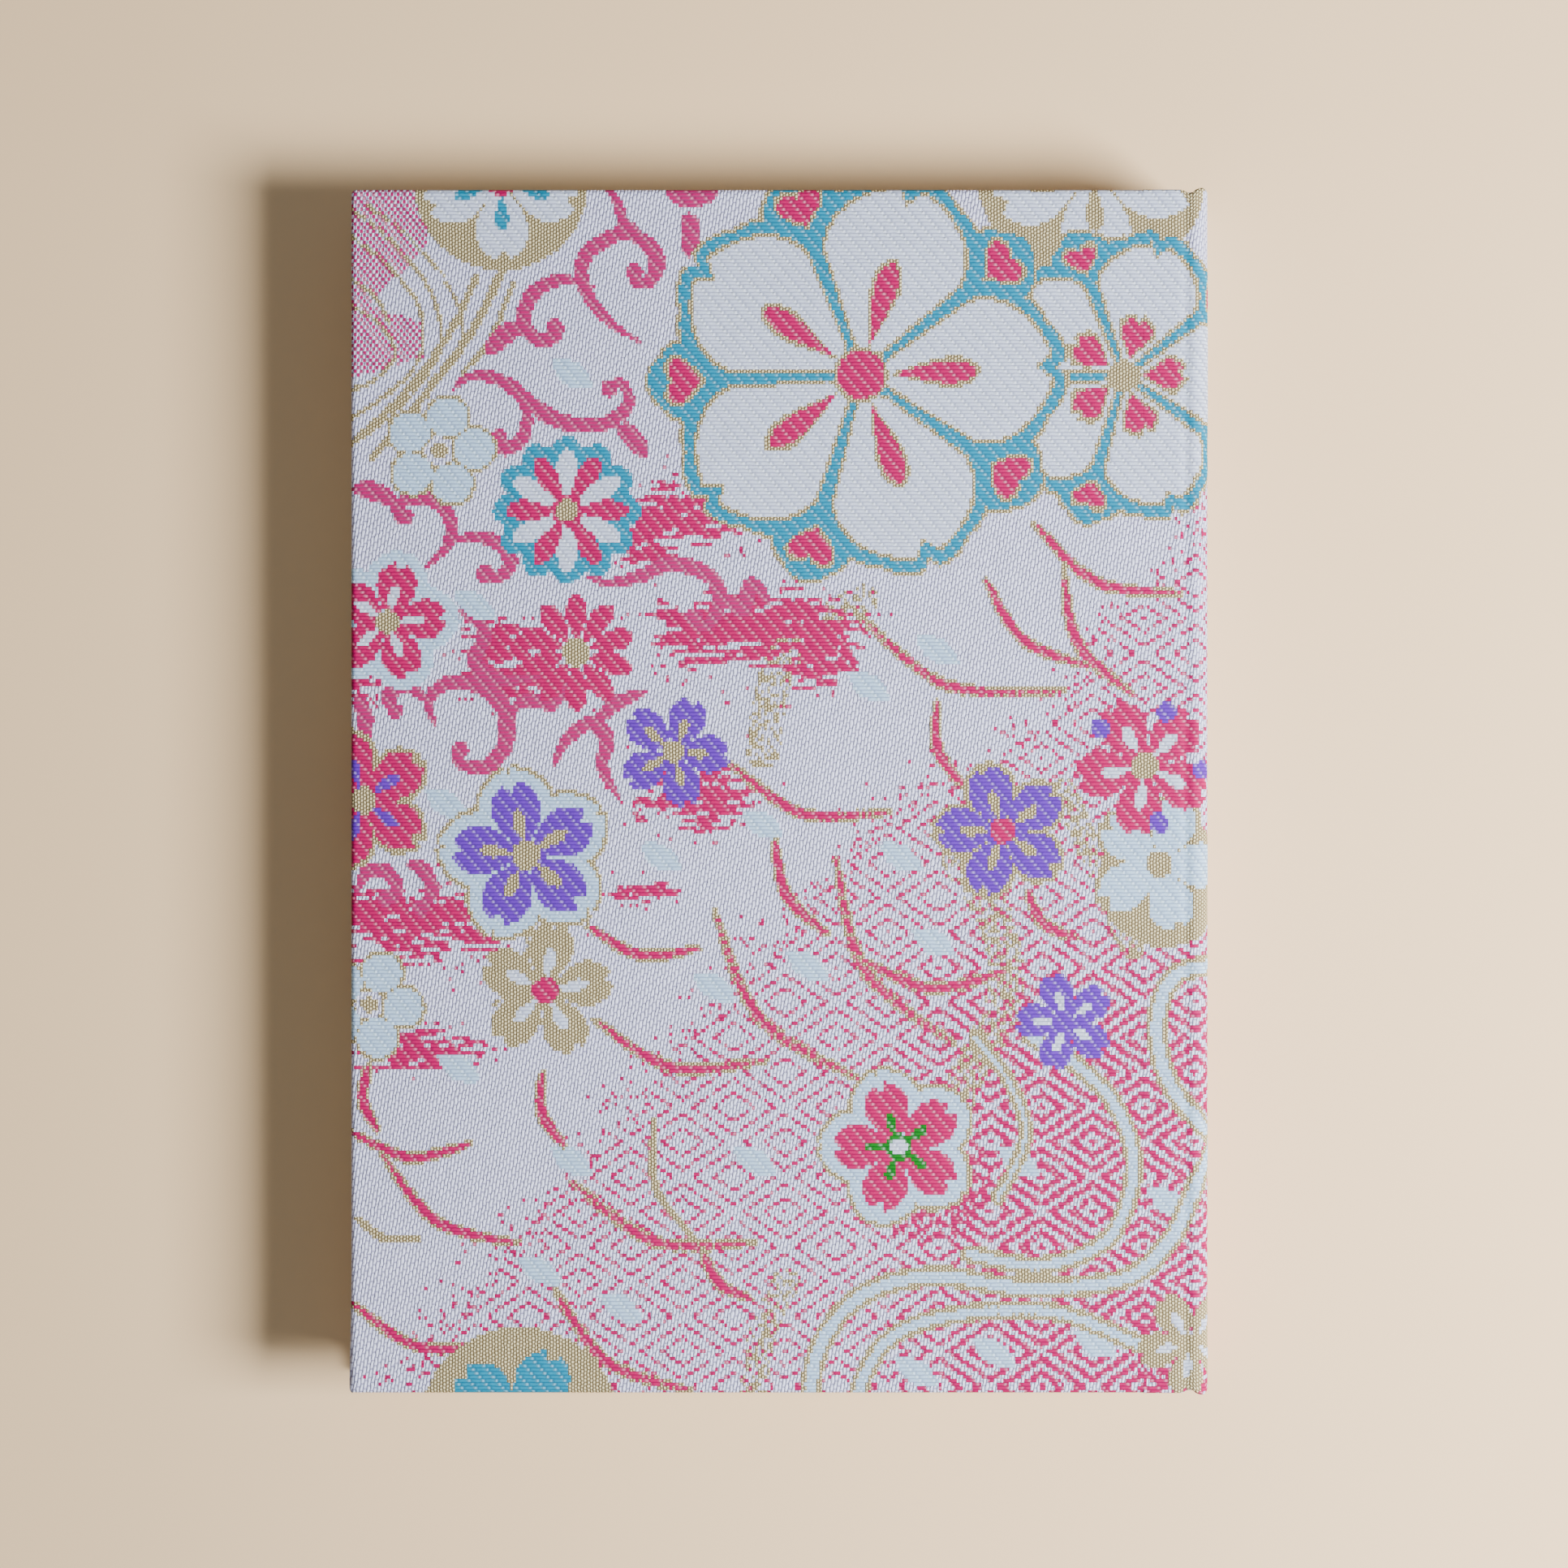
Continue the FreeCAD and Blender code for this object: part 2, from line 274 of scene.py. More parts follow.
def many_petals(design, centre, reach, petals, yarn, edge, eye):
    """A chrysanthemum: many narrow petals round an eye, on a scalloped edge if it has one."""
    angles = [360 / petals * k for k in range(petals)]
    shape = dict(base=0.22 * reach, reach=reach, width=0.36 * reach, blunt=0.5)
    if edge:
        design.spot(centre, 0.9 * reach, edge)
        for angle in angles:
            design.paint(design.petal(centre, angle, grow=1.3, **shape), edge)
        shape.update(base=0.16 * reach, reach=0.92 * reach, width=0.31 * reach)
    for k, angle in enumerate(angles):
        design.paint(design.petal(centre, angle, **shape), "pink" if edge and k % 2 else yarn)
    design.paint(design.disc(centre, 0.24 * reach), "pink" if edge else eye)
    design.spot(centre, 0.17 * reach, eye)


def blade(design, start, end, core=True):
    """A blade of grass: a bent stroke with gold edges and a pink core."""
    bend = 0.16
    (u0, v0), (u1, v1) = start, end
    middle = ((u0 + u1) / 2 - bend * (v1 - v0), (v0 + v1) / 2 + bend * (u1 - u0))
    points = [start, middle, end]
    design.paint(design.stroke(points, 1.6 if core else 0.7, grow=0.45), "gold")
    if core:
        design.paint(design.stroke(points, 1.65), "pink")


def band(design, points, width):
    """A flowing band: pale core between gold edges."""
    design.paint(design.stroke(points, width + 0.3, taper=False), "gold")
    design.paint(design.stroke(points, width - 1.5, taper=False), "leaf")


def speckled(design, cells, yarn, share, seed):
    """Paint a share of the given cells, picked at random."""
    picked = chance(design.column[cells], design.row[cells], seed) < share
    design.paint(cells[picked], yarn)


def lozenges(design):
    """Concentric diamonds of short pink dashes, which thicken towards the lower right."""
    half_u, half_v, rings = 9.2, 6.26, 2.5
    across = np.abs(((design.u - 114.7) / half_u + 1) % 2 - 1)
    down = np.abs(((design.v - 183.4) / half_v + 1) % 2 - 1)
    ring = np.abs(((across + down) * rings + 0.5) % 1 - 0.5)
    start, end = np.array((6.0, 216.0)), np.array((112.0, 92.0))
    normal = np.array((start[1] - end[1], end[0] - start[0])) / np.hypot(*(end - start))
    inside = (design.u - start[0]) * normal[0] + (design.v - start[1]) * normal[1]
    bay = 14 * np.exp(-((design.u - 120) / 22) ** 2 - ((design.v - 88) / 20) ** 2)
    bay += 16 * np.exp(-((design.u - 140) / 18) ** 2 - ((design.v - 62) / 11) ** 2)
    inside = inside - bay
    dense = np.clip((design.u - 92) / 26, 0, 1) * np.clip((design.v - 126) / 26, 0, 1)
    kept = chance(design.column, design.row, 5) < np.clip(0.35 + inside / 5, 0, 0.985)
    design.paint((ring < 0.115 + 0.17 * dense) & kept & (inside > -3), "dash")
    loose = chance(design.column, design.row, 7) < 0.10 * np.clip(1 + inside / 8, 0, 1)
    design.paint(loose & (inside < 3), "dash")


SCROLLS = (
    (2.0, ((45.3, -1), (48, 3), (48.6, 7), (46, 9), (42.4, 11.5), (41.2, 15), (42.6, 19), (46, 23.6),
           (51.8, 27.4))),
    (2.1, ((46, 9), (49.5, 8.2), (53, 9.6), (55, 13.2), (53.6, 16.4), (50.8, 16.6), (50.9, 14.2))),
    (2.0, ((43.5, 17.6), (39.5, 16.4), (35, 17), (31.8, 20), (31.2, 24), (33.2, 26.8), (36.6, 26.8),
           (37.2, 24.4))),
    (2.6, ((24.6, 29.6), (27, 26.6), (31.4, 24))),
    (2.1, ((18.6, 35.8), (21, 33.8), (25.4, 33.8), (29, 35.6), (32.6, 38.8), (37.6, 41.6), (43, 42.4),
           (47.4, 41.2), (49.8, 38), (48.6, 34.8), (45.4, 35))),
    (1.9, ((30, 37), (31.6, 40.6), (30.8, 44.4), (28, 46.6), (25.6, 45.2), (26.6, 43.2))),
    (2.6, ((48.2, 42.4), (50.4, 44.4), (53, 48))),
    (2.4, ((0.4, 53.6), (4, 54.2), (8.4, 56.2))),
    (2.0, ((8.6, 60), (8.4, 57), (11.4, 55.4), (15, 56), (17.8, 59.2), (17.4, 63.6), (13.6, 67.8))),
    (2.0, ((17.2, 63.4), (22.4, 62.4), (27, 63.8), (28.6, 67), (26.4, 69.8), (23.4, 69.4))),
    (2.1, ((42.8, 69.8), (47, 70.6), (52, 69.4), (56, 67.6), (61, 67.8), (65.4, 70.4), (66, 75),
           (63.4, 78.6), (60.6, 77))),
    (2.2, ((66, 72), (70, 75.4), (72, 71), (75, 74))),
    (2.3, ((15, 96), (14, 91.6), (17.6, 88.6), (23.6, 89.4), (27.8, 93.8), (27.6, 99.8), (24, 103.8),
           (19.4, 102.8), (19, 99.6))),
    (2.1, ((36.4, 103.2), (38.8, 98.8), (43, 95.8), (46, 98.6), (45.2, 103.6), (48, 109))),
    (2.1, ((19.6, 75.6), (24, 79.4), (22.4, 84.8), (27, 88), (34, 87.2))),
    (1.9, ((28, 94), (32, 91.6), (36.4, 92.2), (38.4, 88.8))),
    (2.0, ((14.2, 92), (10, 89), (6.8, 91), (8.2, 94.2))),
    (2.0, ((1, 126), (3, 122.4), (6.6, 122.6), (8.4, 126), (6, 128))),
    (2.0, ((10, 121), (13, 122), (14.6, 126), (12, 129.4))),
    (2.0, ((53, 90), (47, 92.6), (44, 96))),
    (3.6, ((57, -0.5), (61, 1.0), (66, -0.5))),
    (2.6, ((60.6, 4.2), (60.9, 7.6), (60.6, 11.8))),
    (2.2, ((1, 91), (2.6, 95), (2, 100))),
)
CURL_ENDS = (
    (50.9, 14.9, 1.6), (36.6, 24.9, 1.7), (46.4, 35.8, 1.6), (26.6, 44.6, 1.6), (9.8, 58.6, 1.5),
    (24.3, 69.0, 1.7), (61.5, 76.8, 1.5), (19.6, 100.6, 1.6), (8.0, 93.6, 1.4), (6.2, 127.2, 1.6),
    (12.6, 129.0, 1.5), (50.5, 7.0, 1.0),
)
PATCHES = ((59, 58.5, 10.5, 5.5), (52, 63, 7, 4), (74, 78.5, 15, 6.5), (84, 83, 7, 7), (63, 79, 9, 7),
           (10, 131, 17, 6.5), (13, 155, 11, 4), (61, 108.5, 11, 6), (31, 88, 9, 3.5),
           (27, 82, 6, 4), (52, 126, 6, 2.2), (2, 84, 4, 8))
BLADES = (
    ((122.7, 60.1), (148.9, 72.5)), ((127.8, 68.1), (140.2, 90.7)), ((114, 70.3), (132.2, 85.6)),
    ((90.7, 76.1), (127.8, 90)), ((68.1, 103.1), (96.5, 111.8)), ((105.2, 92.1), (110.3, 107.4)),
    ((76.1, 116.9), (85.6, 133.6)), ((87, 120.5), (108.2, 153.3)), ((65.2, 129.3), (91.4, 159.8)),
    ((43.4, 148.9), (74.7, 156.2)), ((34.4, 158.4), (38.3, 171.5)), ((39.7, 178), (72.5, 188.9)),
    ((63, 190.4), (71.8, 199.1)), ((36.8, 197.7), (60.8, 215.4)), ((0.4, 199.9), (25.2, 207.1)),
    ((0.4, 169.3), (21.5, 171.2)), ((5.5, 172.9), (30.3, 189.2)), ((3.3, 156.9), (4.8, 168.9)),
    ((121.3, 126.4), (130, 134.4)), ((91.4, 138), (117.6, 140.2)), ((42.6, 132.2), (62.3, 136.2)),
)
GOLD_BLADES = (((1.2, 184.6), (12.1, 188.2)), ((54.3, 167.1), (62.3, 188.9)))
LEAVES = (
    (39.7, 33.2), (105.2, 82.7), (92.9, 89.2), (22.3, 74.7), (98.7, 119.8), (104.5, 135.1),
    (82, 139.4), (65.2, 143.1), (19.4, 157.6), (39.7, 174.4), (72.5, 174.4), (33.9, 194),
    (48.5, 200.6), (17.2, 110.3), (55.7, 119.8), (73.9, 114), (119.8, 174.4), (146.7, 181.7),
    (133.6, 207.1), (101.6, 212.2), (115.4, 208.6),
)
BANDS = (
    (3.6, ((158, 139), (148, 141), (144.6, 149.6), (146.7, 160), (153, 168), (160, 172))),
    (3.2, ((122, 152), (130, 157), (137.5, 165), (140.4, 176), (136, 188), (124, 193), (111, 191))),
    (3.6, ((158, 168), (152, 178), (146.7, 189), (138, 195.6), (120.5, 197), (104.5, 195),
           (91.4, 198.6), (84, 208), (82, 220))),
    (3.2, ((141, 207), (126, 201.4), (108, 202), (97, 206), (91.6, 214), (91, 222))),
    (2.4, ((112, 152), (118, 160), (121, 170), (116, 181))),
)
GOLD_LINES = (
    (0.9, ((-2, 2), (8, 10), (15, 20), (15.5, 30), (8, 40), (-2, 47))),
    (0.9, ((-2, 7), (7, 14), (12.5, 22), (12, 31), (5, 38), (-2, 42))),
    (0.8, ((3, 3), (12, 10), (19, 20), (20, 26))),
    (1.7, ((27, 15), (22, 25), (14, 36), (4, 48))),
    (1.5, ((22.4, 16), (17.6, 26), (10, 36.4), (1, 45))),
    (1.1, ((29, 17), (25, 27), (20, 33))),
    (0.8, ((-2, 20), (5, 24), (8, 30), (3, 35), (-2, 36))),
    (0.8, ((-2, 15), (4, 19), (7, 24))),
)
GOLD_MISTS = (
    (6.0, ((92, 74), (82, 79), (76, 88), (74, 101))),
    (6.5, ((109, 120), (116, 132), (117, 146), (110, 160), (106, 172))),
    (5.0, ((78, 196), (74, 205), (72, 216))),
    (5.0, ((28, 118), (34, 134), (28, 146))),
    (4.5, ((128, 108), (134, 122), (140, 136))),
)


def scattered_threads(design):
    """Loose dashes, chequered corners and gold mists."""
    speckled(design, np.flatnonzero(design.disc((104, 178), 11)), "dash", 0.4, 8)
    corner = (design.u + design.v < 24) & (design.u < 14) & (design.v > -9)
    design.paint(corner & ((design.column + design.row) % 2 == 0), "stripe")
    gully = (design.u < 13) & (np.abs(design.v - 27) < 7 - 0.3 * design.u)
    design.paint(gully & ((design.column + design.row) % 2 == 0), "stripe")
    speckled(design, np.flatnonzero((design.u > 141) & (design.v > 200)), "dash", 0.5, 4)
    for width, points in GOLD_MISTS:
        speckled(design, design.stroke(points, width, taper=False), "gold", 0.5, 6)
    for width, points in GOLD_LINES:
        design.paint(design.stroke(points, width, taper=False), "gold")


def pink_patches(design):
    """Torn-looking patches of pink weft, with loose dashes round them."""
    mottle = 0.65 * streaks(design.u, design.v, 3.4, 1) + 0.35 * streaks(design.u, design.v, 1.1, 2)
    for cu, cv, ru, rv in PATCHES:
        away = np.hypot((design.u - cu) / ru, (design.v - cv) / rv)
        design.paint(mottle > 0.16 + 0.40 * away ** 2, "pink")
        share = 0.16 * np.exp(-np.maximum(away - 0.8, 0) ** 2 * 2)
        loose = chance(design.column, design.row, 11) < share
        design.paint(loose & (mottle > 0.5) & (away < 2.2), "dash")


def strokes(design):
    """The scrolls, leaves, bands and blades."""
    for width, points in SCROLLS:
        design.paint(design.stroke(points, 1.4 * width), "stripe")
    for cu, cv, radius in CURL_ENDS:
        design.spot((cu, cv), radius, "stripe")
    for cu, cv in LEAVES:
        design.paint(design.petal((cu, cv), 122, -4.6, 4.6, 4.4, skew=1.0, blunt=0.9), "leaf")
    for width, points in BANDS:
        band(design, points, width)
    for start, end in BLADES:
        blade(design, start, end)
    for start, end in GOLD_BLADES:
        blade(design, start, end, core=False)


def small_blossoms(design):
    """The blossoms and plums, from the tail to the head."""
    design.spot((30.3, 222), 18, "gold")
    blossom(design, (30.3, 222), 15, "teal", turn=26, stamens=None, eye="gold")
    design.spot((146, 124), 12, "gold")
    blossom(design, (145, 121), 12.5, "leaf", turn=20, rim="gold", stamens=None, eye="gold")
    blossom(design, (150.5, 207), 10, "gold", turn=-30, stamens="white", eye="gold")
    blossom(design, (116.9, 115.1), 12.2, "purple", turn=-17, eye="pink", rim="gold")
    blossom(design, (142.4, 103.5), 13, "pink", turn=-28, stamens="white")
    for angle in (-50, 22, 94, 166):
        design.paint(design.petal((142.4, 103.5), angle, 8.5, 12.5, 3.4, skew=1.0), "purple")
    blossom(design, (128.2, 149.3), 9.3, "purple", turn=-17, eye="purple", stamens="white")
    blossom(design, (98.3, 171.8), 12.2, "pink", turn=-17, halo="leaf", rim="gold", eye="green",
            stamens=None, eye_size=0.2)
    for k in range(5):
        design.paint(design.petal((98.3, 171.8), 72 * k - 17, 1.5, 6.2, 1.9, skew=1.7), "green")
    design.spot((98.3, 171.8), 1.5, "white")
    blossom(design, (34.9, 143.8), 12.6, "gold", turn=8, eye="pink", stamens="white")
    plum(design, (3.3, 146.3), 10.2, 22, "gold")
    blossom(design, (31.4, 119.4), 13.6, "purple", turn=-12, halo="leaf", rim="gold", eye="gold")
    blossom(design, (57.9, 100.9), 10.4, "purple", turn=22, eye="gold")
    blossom(design, (2.2, 109.6), 12.6, "pink", turn=-17, rim="gold", stamens="purple")
    many_petals(design, (40.5, 83.1), 10.6, 10, "pink", None, "gold")
    blossom(design, (6.6, 77.6), 11, "pink", turn=14, halo="leaf", stamens="white")
    many_petals(design, (38.8, 57.6), 12, 12, "white", "teal", "gold")
    plum(design, (15.9, 47), 10.4, 14, "gold")
    design.spot((27, -1), 15.6, "gold")
    blossom(design, (27, -1.5), 14.5, "white", turn=35, stamens="teal", eye="pink")
    design.spot((133, -4), 21, "gold")
    blossom(design, (133, -4), 19, "white", turn=33, stamens="gold", eye="gold")


def large_blossoms(design):
    """The two double blossoms at the head."""
    arrow = dict(base=3.2, reach=11.0, width=5.4, notch=1.6, skew=1.7, blunt=0.8)
    big_blossom(design, (138.7, 33.5), 26.5, 16, arrow)
    design.spot((138.7, 33.5), 2.9, "gold")
    drop = dict(base=5.2, reach=20.8, width=4.0, skew=2.0)
    big_blossom(design, (91.5, 33.3), 38.0, 16, drop)
    design.spot((91.5, 33.3), 5.0, "gold")
    design.spot((91.5, 33.3), 4.3, "pink")


def front_layout(design):
    """The whole design, from the ground up."""
    lozenges(design)
    scattered_threads(design)
    pink_patches(design)
    strokes(design)
    small_blossoms(design)
    large_blossoms(design)


OVERLAP = 16 * CELL_U  # how much of each cover's cloth goes with its joint
MARGIN = 30  # how many cells of the design lie outside the cover, for the turn-ins


def weave_design():
    """The yarn of every cell, in rows down the cloth and columns across it."""
    columns = np.arange(-MARGIN, math.ceil(U_BACK_CREASE / CELL_U) + 1)
    rows = np.arange(-MARGIN, round(V_END / PICK) + MARGIN)
    u, v = np.meshgrid((columns + 0.5) * CELL_U, (rows + 0.5) * PICK)
    design = Design(u.ravel(), v.ravel())
    front_layout(design)
    return design.yarn.reshape(u.shape)


PATTERN = weave_design()


def woven(u, v):
    """The yarn at each place: the front's design runs on over the spine to the back's crease.

    The back cover has the same design turned half round.
    """
    far = u > U_BACK_CREASE
    u, v = np.where(far, U_END - u, u), np.where(far, V_END - v, v)
    column = np.floor(u / CELL_U + 1e-6).astype(int) + MARGIN
    row = np.floor(v / PICK + 1e-6).astype(int) + MARGIN
    return PATTERN[np.clip(row, 0, PATTERN.shape[0] - 1), np.clip(column, 0, PATTERN.shape[1] - 1)]


# ---------------------------------------------------------------- materials
def linear(colour):
    """An sRGB colour of 0 to 255 as linear light."""
    share = np.array(colour, float) / 255
    return tuple(np.where(share <= 0.04045, share / 12.92, ((share + 0.055) / 1.055) ** 2.4))


class Nodes:
    """A material's node tree, built by small steps."""

    def __init__(self, name, roughness, **sockets):
        self.material = bpy.data.materials.new(name)
        self.material.use_nodes = True
        self.tree = self.material.node_tree
        self.shader = next(n for n in self.tree.nodes if n.type == "BSDF_PRINCIPLED")
        self.shader.inputs["Roughness"].default_value = roughness
        for socket, value in sockets.items():
            self.shader.inputs[socket.replace("_", " ")].default_value = value

    def add(self, kind, **settings):
        node = self.tree.nodes.new(kind)
        for name, value in settings.items():
            setattr(node, name, value)
        return node

    def feed(self, node, index, value):
        if isinstance(value, bpy.types.NodeSocket):
            self.tree.links.new(value, node.inputs[index])
        else:
            node.inputs[index].default_value = value

    def maths(self, operation, *values, clamp=False):
        node = self.add("ShaderNodeMath", operation=operation, use_clamp=clamp)
        for index, value in enumerate(values):
            self.feed(node, index, value)
        return node.outputs[0]

    def mix(self, share, first, second, blend="MIX"):
        node = self.add("ShaderNodeMix", data_type="RGBA", blend_type=blend)
        self.feed(node, 0, share)
        for socket, value in ((6, first), (7, second)):
            if isinstance(value, tuple) and len(value) == 3:
                value = (*value, 1)
            self.feed(node, socket, value)
        return node.outputs[2]

    def noise(self, vector, scale, detail=3.0, roughness=0.5):
        node = self.add("ShaderNodeTexNoise")
        self.feed(node, "Vector", vector)
        node.inputs["Scale"].default_value = scale
        node.inputs["Detail"].default_value = detail
        node.inputs["Roughness"].default_value = roughness
        return node.outputs["Fac"]

    def stretched(self, vector, scale):
        node = self.add("ShaderNodeVectorMath", operation="MULTIPLY")
        self.feed(node, 0, vector)
        node.inputs[1].default_value = scale
        return node.outputs[0]

    def times(self, first, second, clamp=False):
        return self.maths("MULTIPLY", first, second, clamp=clamp)

    def power(self, base, exponent):
        return self.maths("POWER", base, exponent)

    def attribute(self, name, output="Vector"):
        return self.add("ShaderNodeAttribute", attribute_name=name).outputs[output]

    def split(self, vector):
        node = self.add("ShaderNodeSeparateXYZ")
        self.feed(node, 0, vector)
        return node.outputs

    def position(self):
        return self.add("ShaderNodeTexCoord").outputs["Object"]

    def finish(self, colour, height=None, depth=0.0001):
        if isinstance(colour, tuple):
            self.shader.inputs["Base Color"].default_value = (*colour, 1)
        else:
            self.tree.links.new(colour, self.shader.inputs["Base Color"])
        if height is not None:
            bump = self.add("ShaderNodeBump")
            bump.inputs["Strength"].default_value = 1.0
            bump.inputs["Distance"].default_value = depth
            self.feed(bump, "Height", height)
            self.tree.links.new(bump.outputs[0], self.shader.inputs["Normal"])
        return self.material


def wave(n, value):
    """Zero at whole numbers and one halfway between."""
    return n.maths("SINE", n.times(n.maths("FRACT", value), math.pi))


def weft_rows(n, u, v, v_even):
    """Weft rows, each bound down at dots that step sideways from row to row.

    Gives the wave across the rows, the bright dots, a painted shadow beside each dot and the height.
    """
    dot_pitch, dot_step, dot_shadow_shift, sharpness = 2.45, 0.57, 0.17, 14.0
    row = wave(n, n.maths("DIVIDE", v, PICK))
    row_number = n.maths("FLOOR", n.maths("DIVIDE", v_even, PICK))
    place = n.maths("DIVIDE", n.maths("SUBTRACT", u, n.times(row_number, dot_step)), dot_pitch)
    dot = n.times(n.power(wave(n, place), sharpness), row)
    # Painted shadow: a dark spot set just beside each binding dot.
    dot_shadow = n.times(n.power(wave(n, n.maths("SUBTRACT", place, dot_shadow_shift)), sharpness), row)
    body = n.maths("MULTIPLY_ADD", n.power(row, 0.55), 0.4, 0.12)
    return row, dot, dot_shadow, n.maths("MULTIPLY_ADD", dot, 0.7, body)


def satin_floats(n, u, v, v_even):
    """The height of short slanting warp floats, laid brick-wise."""
    slant, width, length, shift = 0.16, 0.62, 1.5, 0.382
    column = n.maths("DIVIDE", n.maths("MULTIPLY_ADD", v_even, slant, u), width)
    staggered = n.maths("MULTIPLY_ADD", n.maths("FLOOR", column), shift, n.maths("DIVIDE", v, length))
    return n.times(n.power(wave(n, column), 0.7), n.power(wave(n, staggered), 0.5))


def gold_dots(n, u, v):
    """The height of small tight dots, one to a cell."""
    column = n.maths("DIVIDE", u, CELL_U)
    staggered = n.maths("MULTIPLY_ADD", n.maths("FLOOR", column), 0.5, n.maths("DIVIDE", v, PICK))
    return n.times(wave(n, column), wave(n, staggered))


def brocade_material():
    """Weft floats with their binding dots, satin ground and gold dots, over the woven design."""
    n = Nodes("brocade", 0.6, Specular_IOR_Level=0.12)
    cloth, yarn = n.attribute("cloth"), n.attribute("yarn")
    u, v = n.split(cloth)[:2]
    rows, satin, gold = n.split(n.attribute("weave"))

    wobble = n.times(n.maths("SUBTRACT", n.noise(cloth, 0.9), 0.5), 0.5)
    u_loose = n.maths("ADD", u, wobble)
    v_loose = n.maths("ADD", v, n.times(wobble, 0.45))
    row, dot, dot_shadow, row_height = weft_rows(n, u_loose, v_loose, v)
    gold_height = gold_dots(n, u_loose, v_loose)
    height = n.maths("ADD", n.times(rows, row_height),
                     n.maths("ADD", n.times(satin, satin_floats(n, u_loose, v_loose, v)),
                             n.times(gold, gold_height)))

    def darkened(body, colour):
        return n.mix(1.0, body, linear(colour), "MULTIPLY")

    def without(wave_height, exponent):
        return n.maths("SUBTRACT", 1.0, n.power(wave_height, exponent))

    between = n.times(n.attribute("gap", "Fac"), without(row, 0.9))
    body = n.mix(between, yarn, linear(YARNS["ground"][0]))
    # Painted shade: the yarn's colour is darkened where the threads lie low, in the hollows between
    # them.
    hollow_shade = n.maths("MULTIPLY_ADD", height, -1.4, 1.0, clamp=True)
    tone = n.mix(hollow_shade, body, darkened(body, (132, 122, 152)))
    # Painted shade: the gold turns dark brown in the troughs between its raised dots.
    tone = n.mix(n.times(gold, without(gold_height, 0.6)), tone, linear((116, 98, 54)))
    # Painted shadow beside each binding dot darkens the yarn there.
    tone = n.mix(n.times(n.times(rows, dot_shadow), 0.75, clamp=True), tone, darkened(body, (118, 118, 140)))
    gleam = n.mix(0.42, body, linear((252, 252, 255)))
    tone = n.mix(n.times(n.times(rows, dot), 0.5, clamp=True), tone, gleam)
    tone = n.mix(n.times(n.noise(cloth, 0.35, 4.0), 0.16), tone, darkened(tone, (200, 196, 210)))
    fibre = n.noise(n.stretched(cloth, (5.0, 1.3, 1.0)), 2.4, 2.0)
    return n.finish(tone, n.maths("MULTIPLY_ADD", fibre, 0.16, height), depth=0.00018)


def card_material(name, colour, speck):
    """Uncoated card or paper: soft mottling, fibres and a few darker specks."""
    n = Nodes(name, 0.85, Specular_IOR_Level=0.25)
    at = n.position()
    mottled = n.noise(at, 60, 4.0)
    fibres = n.noise(n.stretched(at, (900.0, 260.0, 900.0)), 1.0, 3.0, 0.6)
    base = n.mix(n.times(mottled, 0.35), linear(colour), linear(speck))
    specks = n.maths("GREATER_THAN", n.noise(at, 1900, 1.0), 0.735)
    marked = n.mix(n.times(specks, 0.35), base, linear(speck))
    return n.finish(marked, n.maths("ADD", fibres, mottled), depth=0.00004)


def woven_material(name, colour, pitch):
    """Plain weave: over and under threads of one pitch, in metres."""
    n = Nodes(name, 0.8, Sheen_Weight=0.15)
    at = n.position()
    x, y, z = n.split(at)
    first = n.maths("DIVIDE", n.maths("ADD", x, z), pitch)
    second = n.maths("MULTIPLY_ADD", n.maths("FLOOR", first), 0.5, n.maths("DIVIDE", y, pitch))
    height = n.times(wave(n, first), wave(n, second))
    slub = n.noise(n.stretched(at, (700.0, 90.0, 700.0)), 1.0, 2.0)
    # Painted shade: the threads darken where they dip under each other; the slubs add their own uneven
    # tone on top.
    low = tuple(0.62 * c for c in linear(colour))
    light = n.maths("MULTIPLY_ADD", slub, 0.5, n.times(height, 0.6), clamp=True)
    tone = n.mix(light, low, linear(colour))
    return n.finish(tone, height, depth=0.00012)


def striped_material(name, first, second, pitch):
    """A rolled band sewn over in two colours in turn."""
    n = Nodes(name, 0.6, Sheen_Weight=0.2)
    turn = n.maths("DIVIDE", n.split(n.position())[2], pitch)
    which = n.maths("GREATER_THAN", n.maths("FRACT", n.times(turn, 0.25)), 0.5)
    height = n.power(wave(n, turn), 0.6)
    body = n.mix(which, linear(first), linear(second))
    shade = n.mix(height, n.mix(1.0, body, (0.45, 0.42, 0.45), "MULTIPLY"), body)
    return n.finish(shade, height, depth=0.00015)


BROCADE = brocade_material()
CARD = card_material("page card", (226, 217, 196), (188, 172, 144))
ENDPAPER = card_material("endpaper", (236, 229, 214), (206, 192, 170))
GREYBOARD = card_material("greyboard", (150, 146, 138), (108, 104, 98))
KRAFT = card_material("kraft lining", (186, 156, 118), (150, 120, 86))
LINEN = woven_material("linen guard", (226, 219, 200), 0.0006)
MULL = woven_material("mull", (222, 216, 202), 0.0011)
BAND = striped_material("headband", (232, 96, 148), (240, 236, 240), 0.00055)


# ---------------------------------------------------------------- meshes
def weld(points, faces):
    """Points that lie together become one, and faces that close up lose their spare corners."""
    keys = np.round(points / 1e-5).astype(np.int64)
    _, first, same = np.unique(keys, axis=0, return_index=True, return_inverse=True)
    return points[first], same.reshape(-1)[faces]


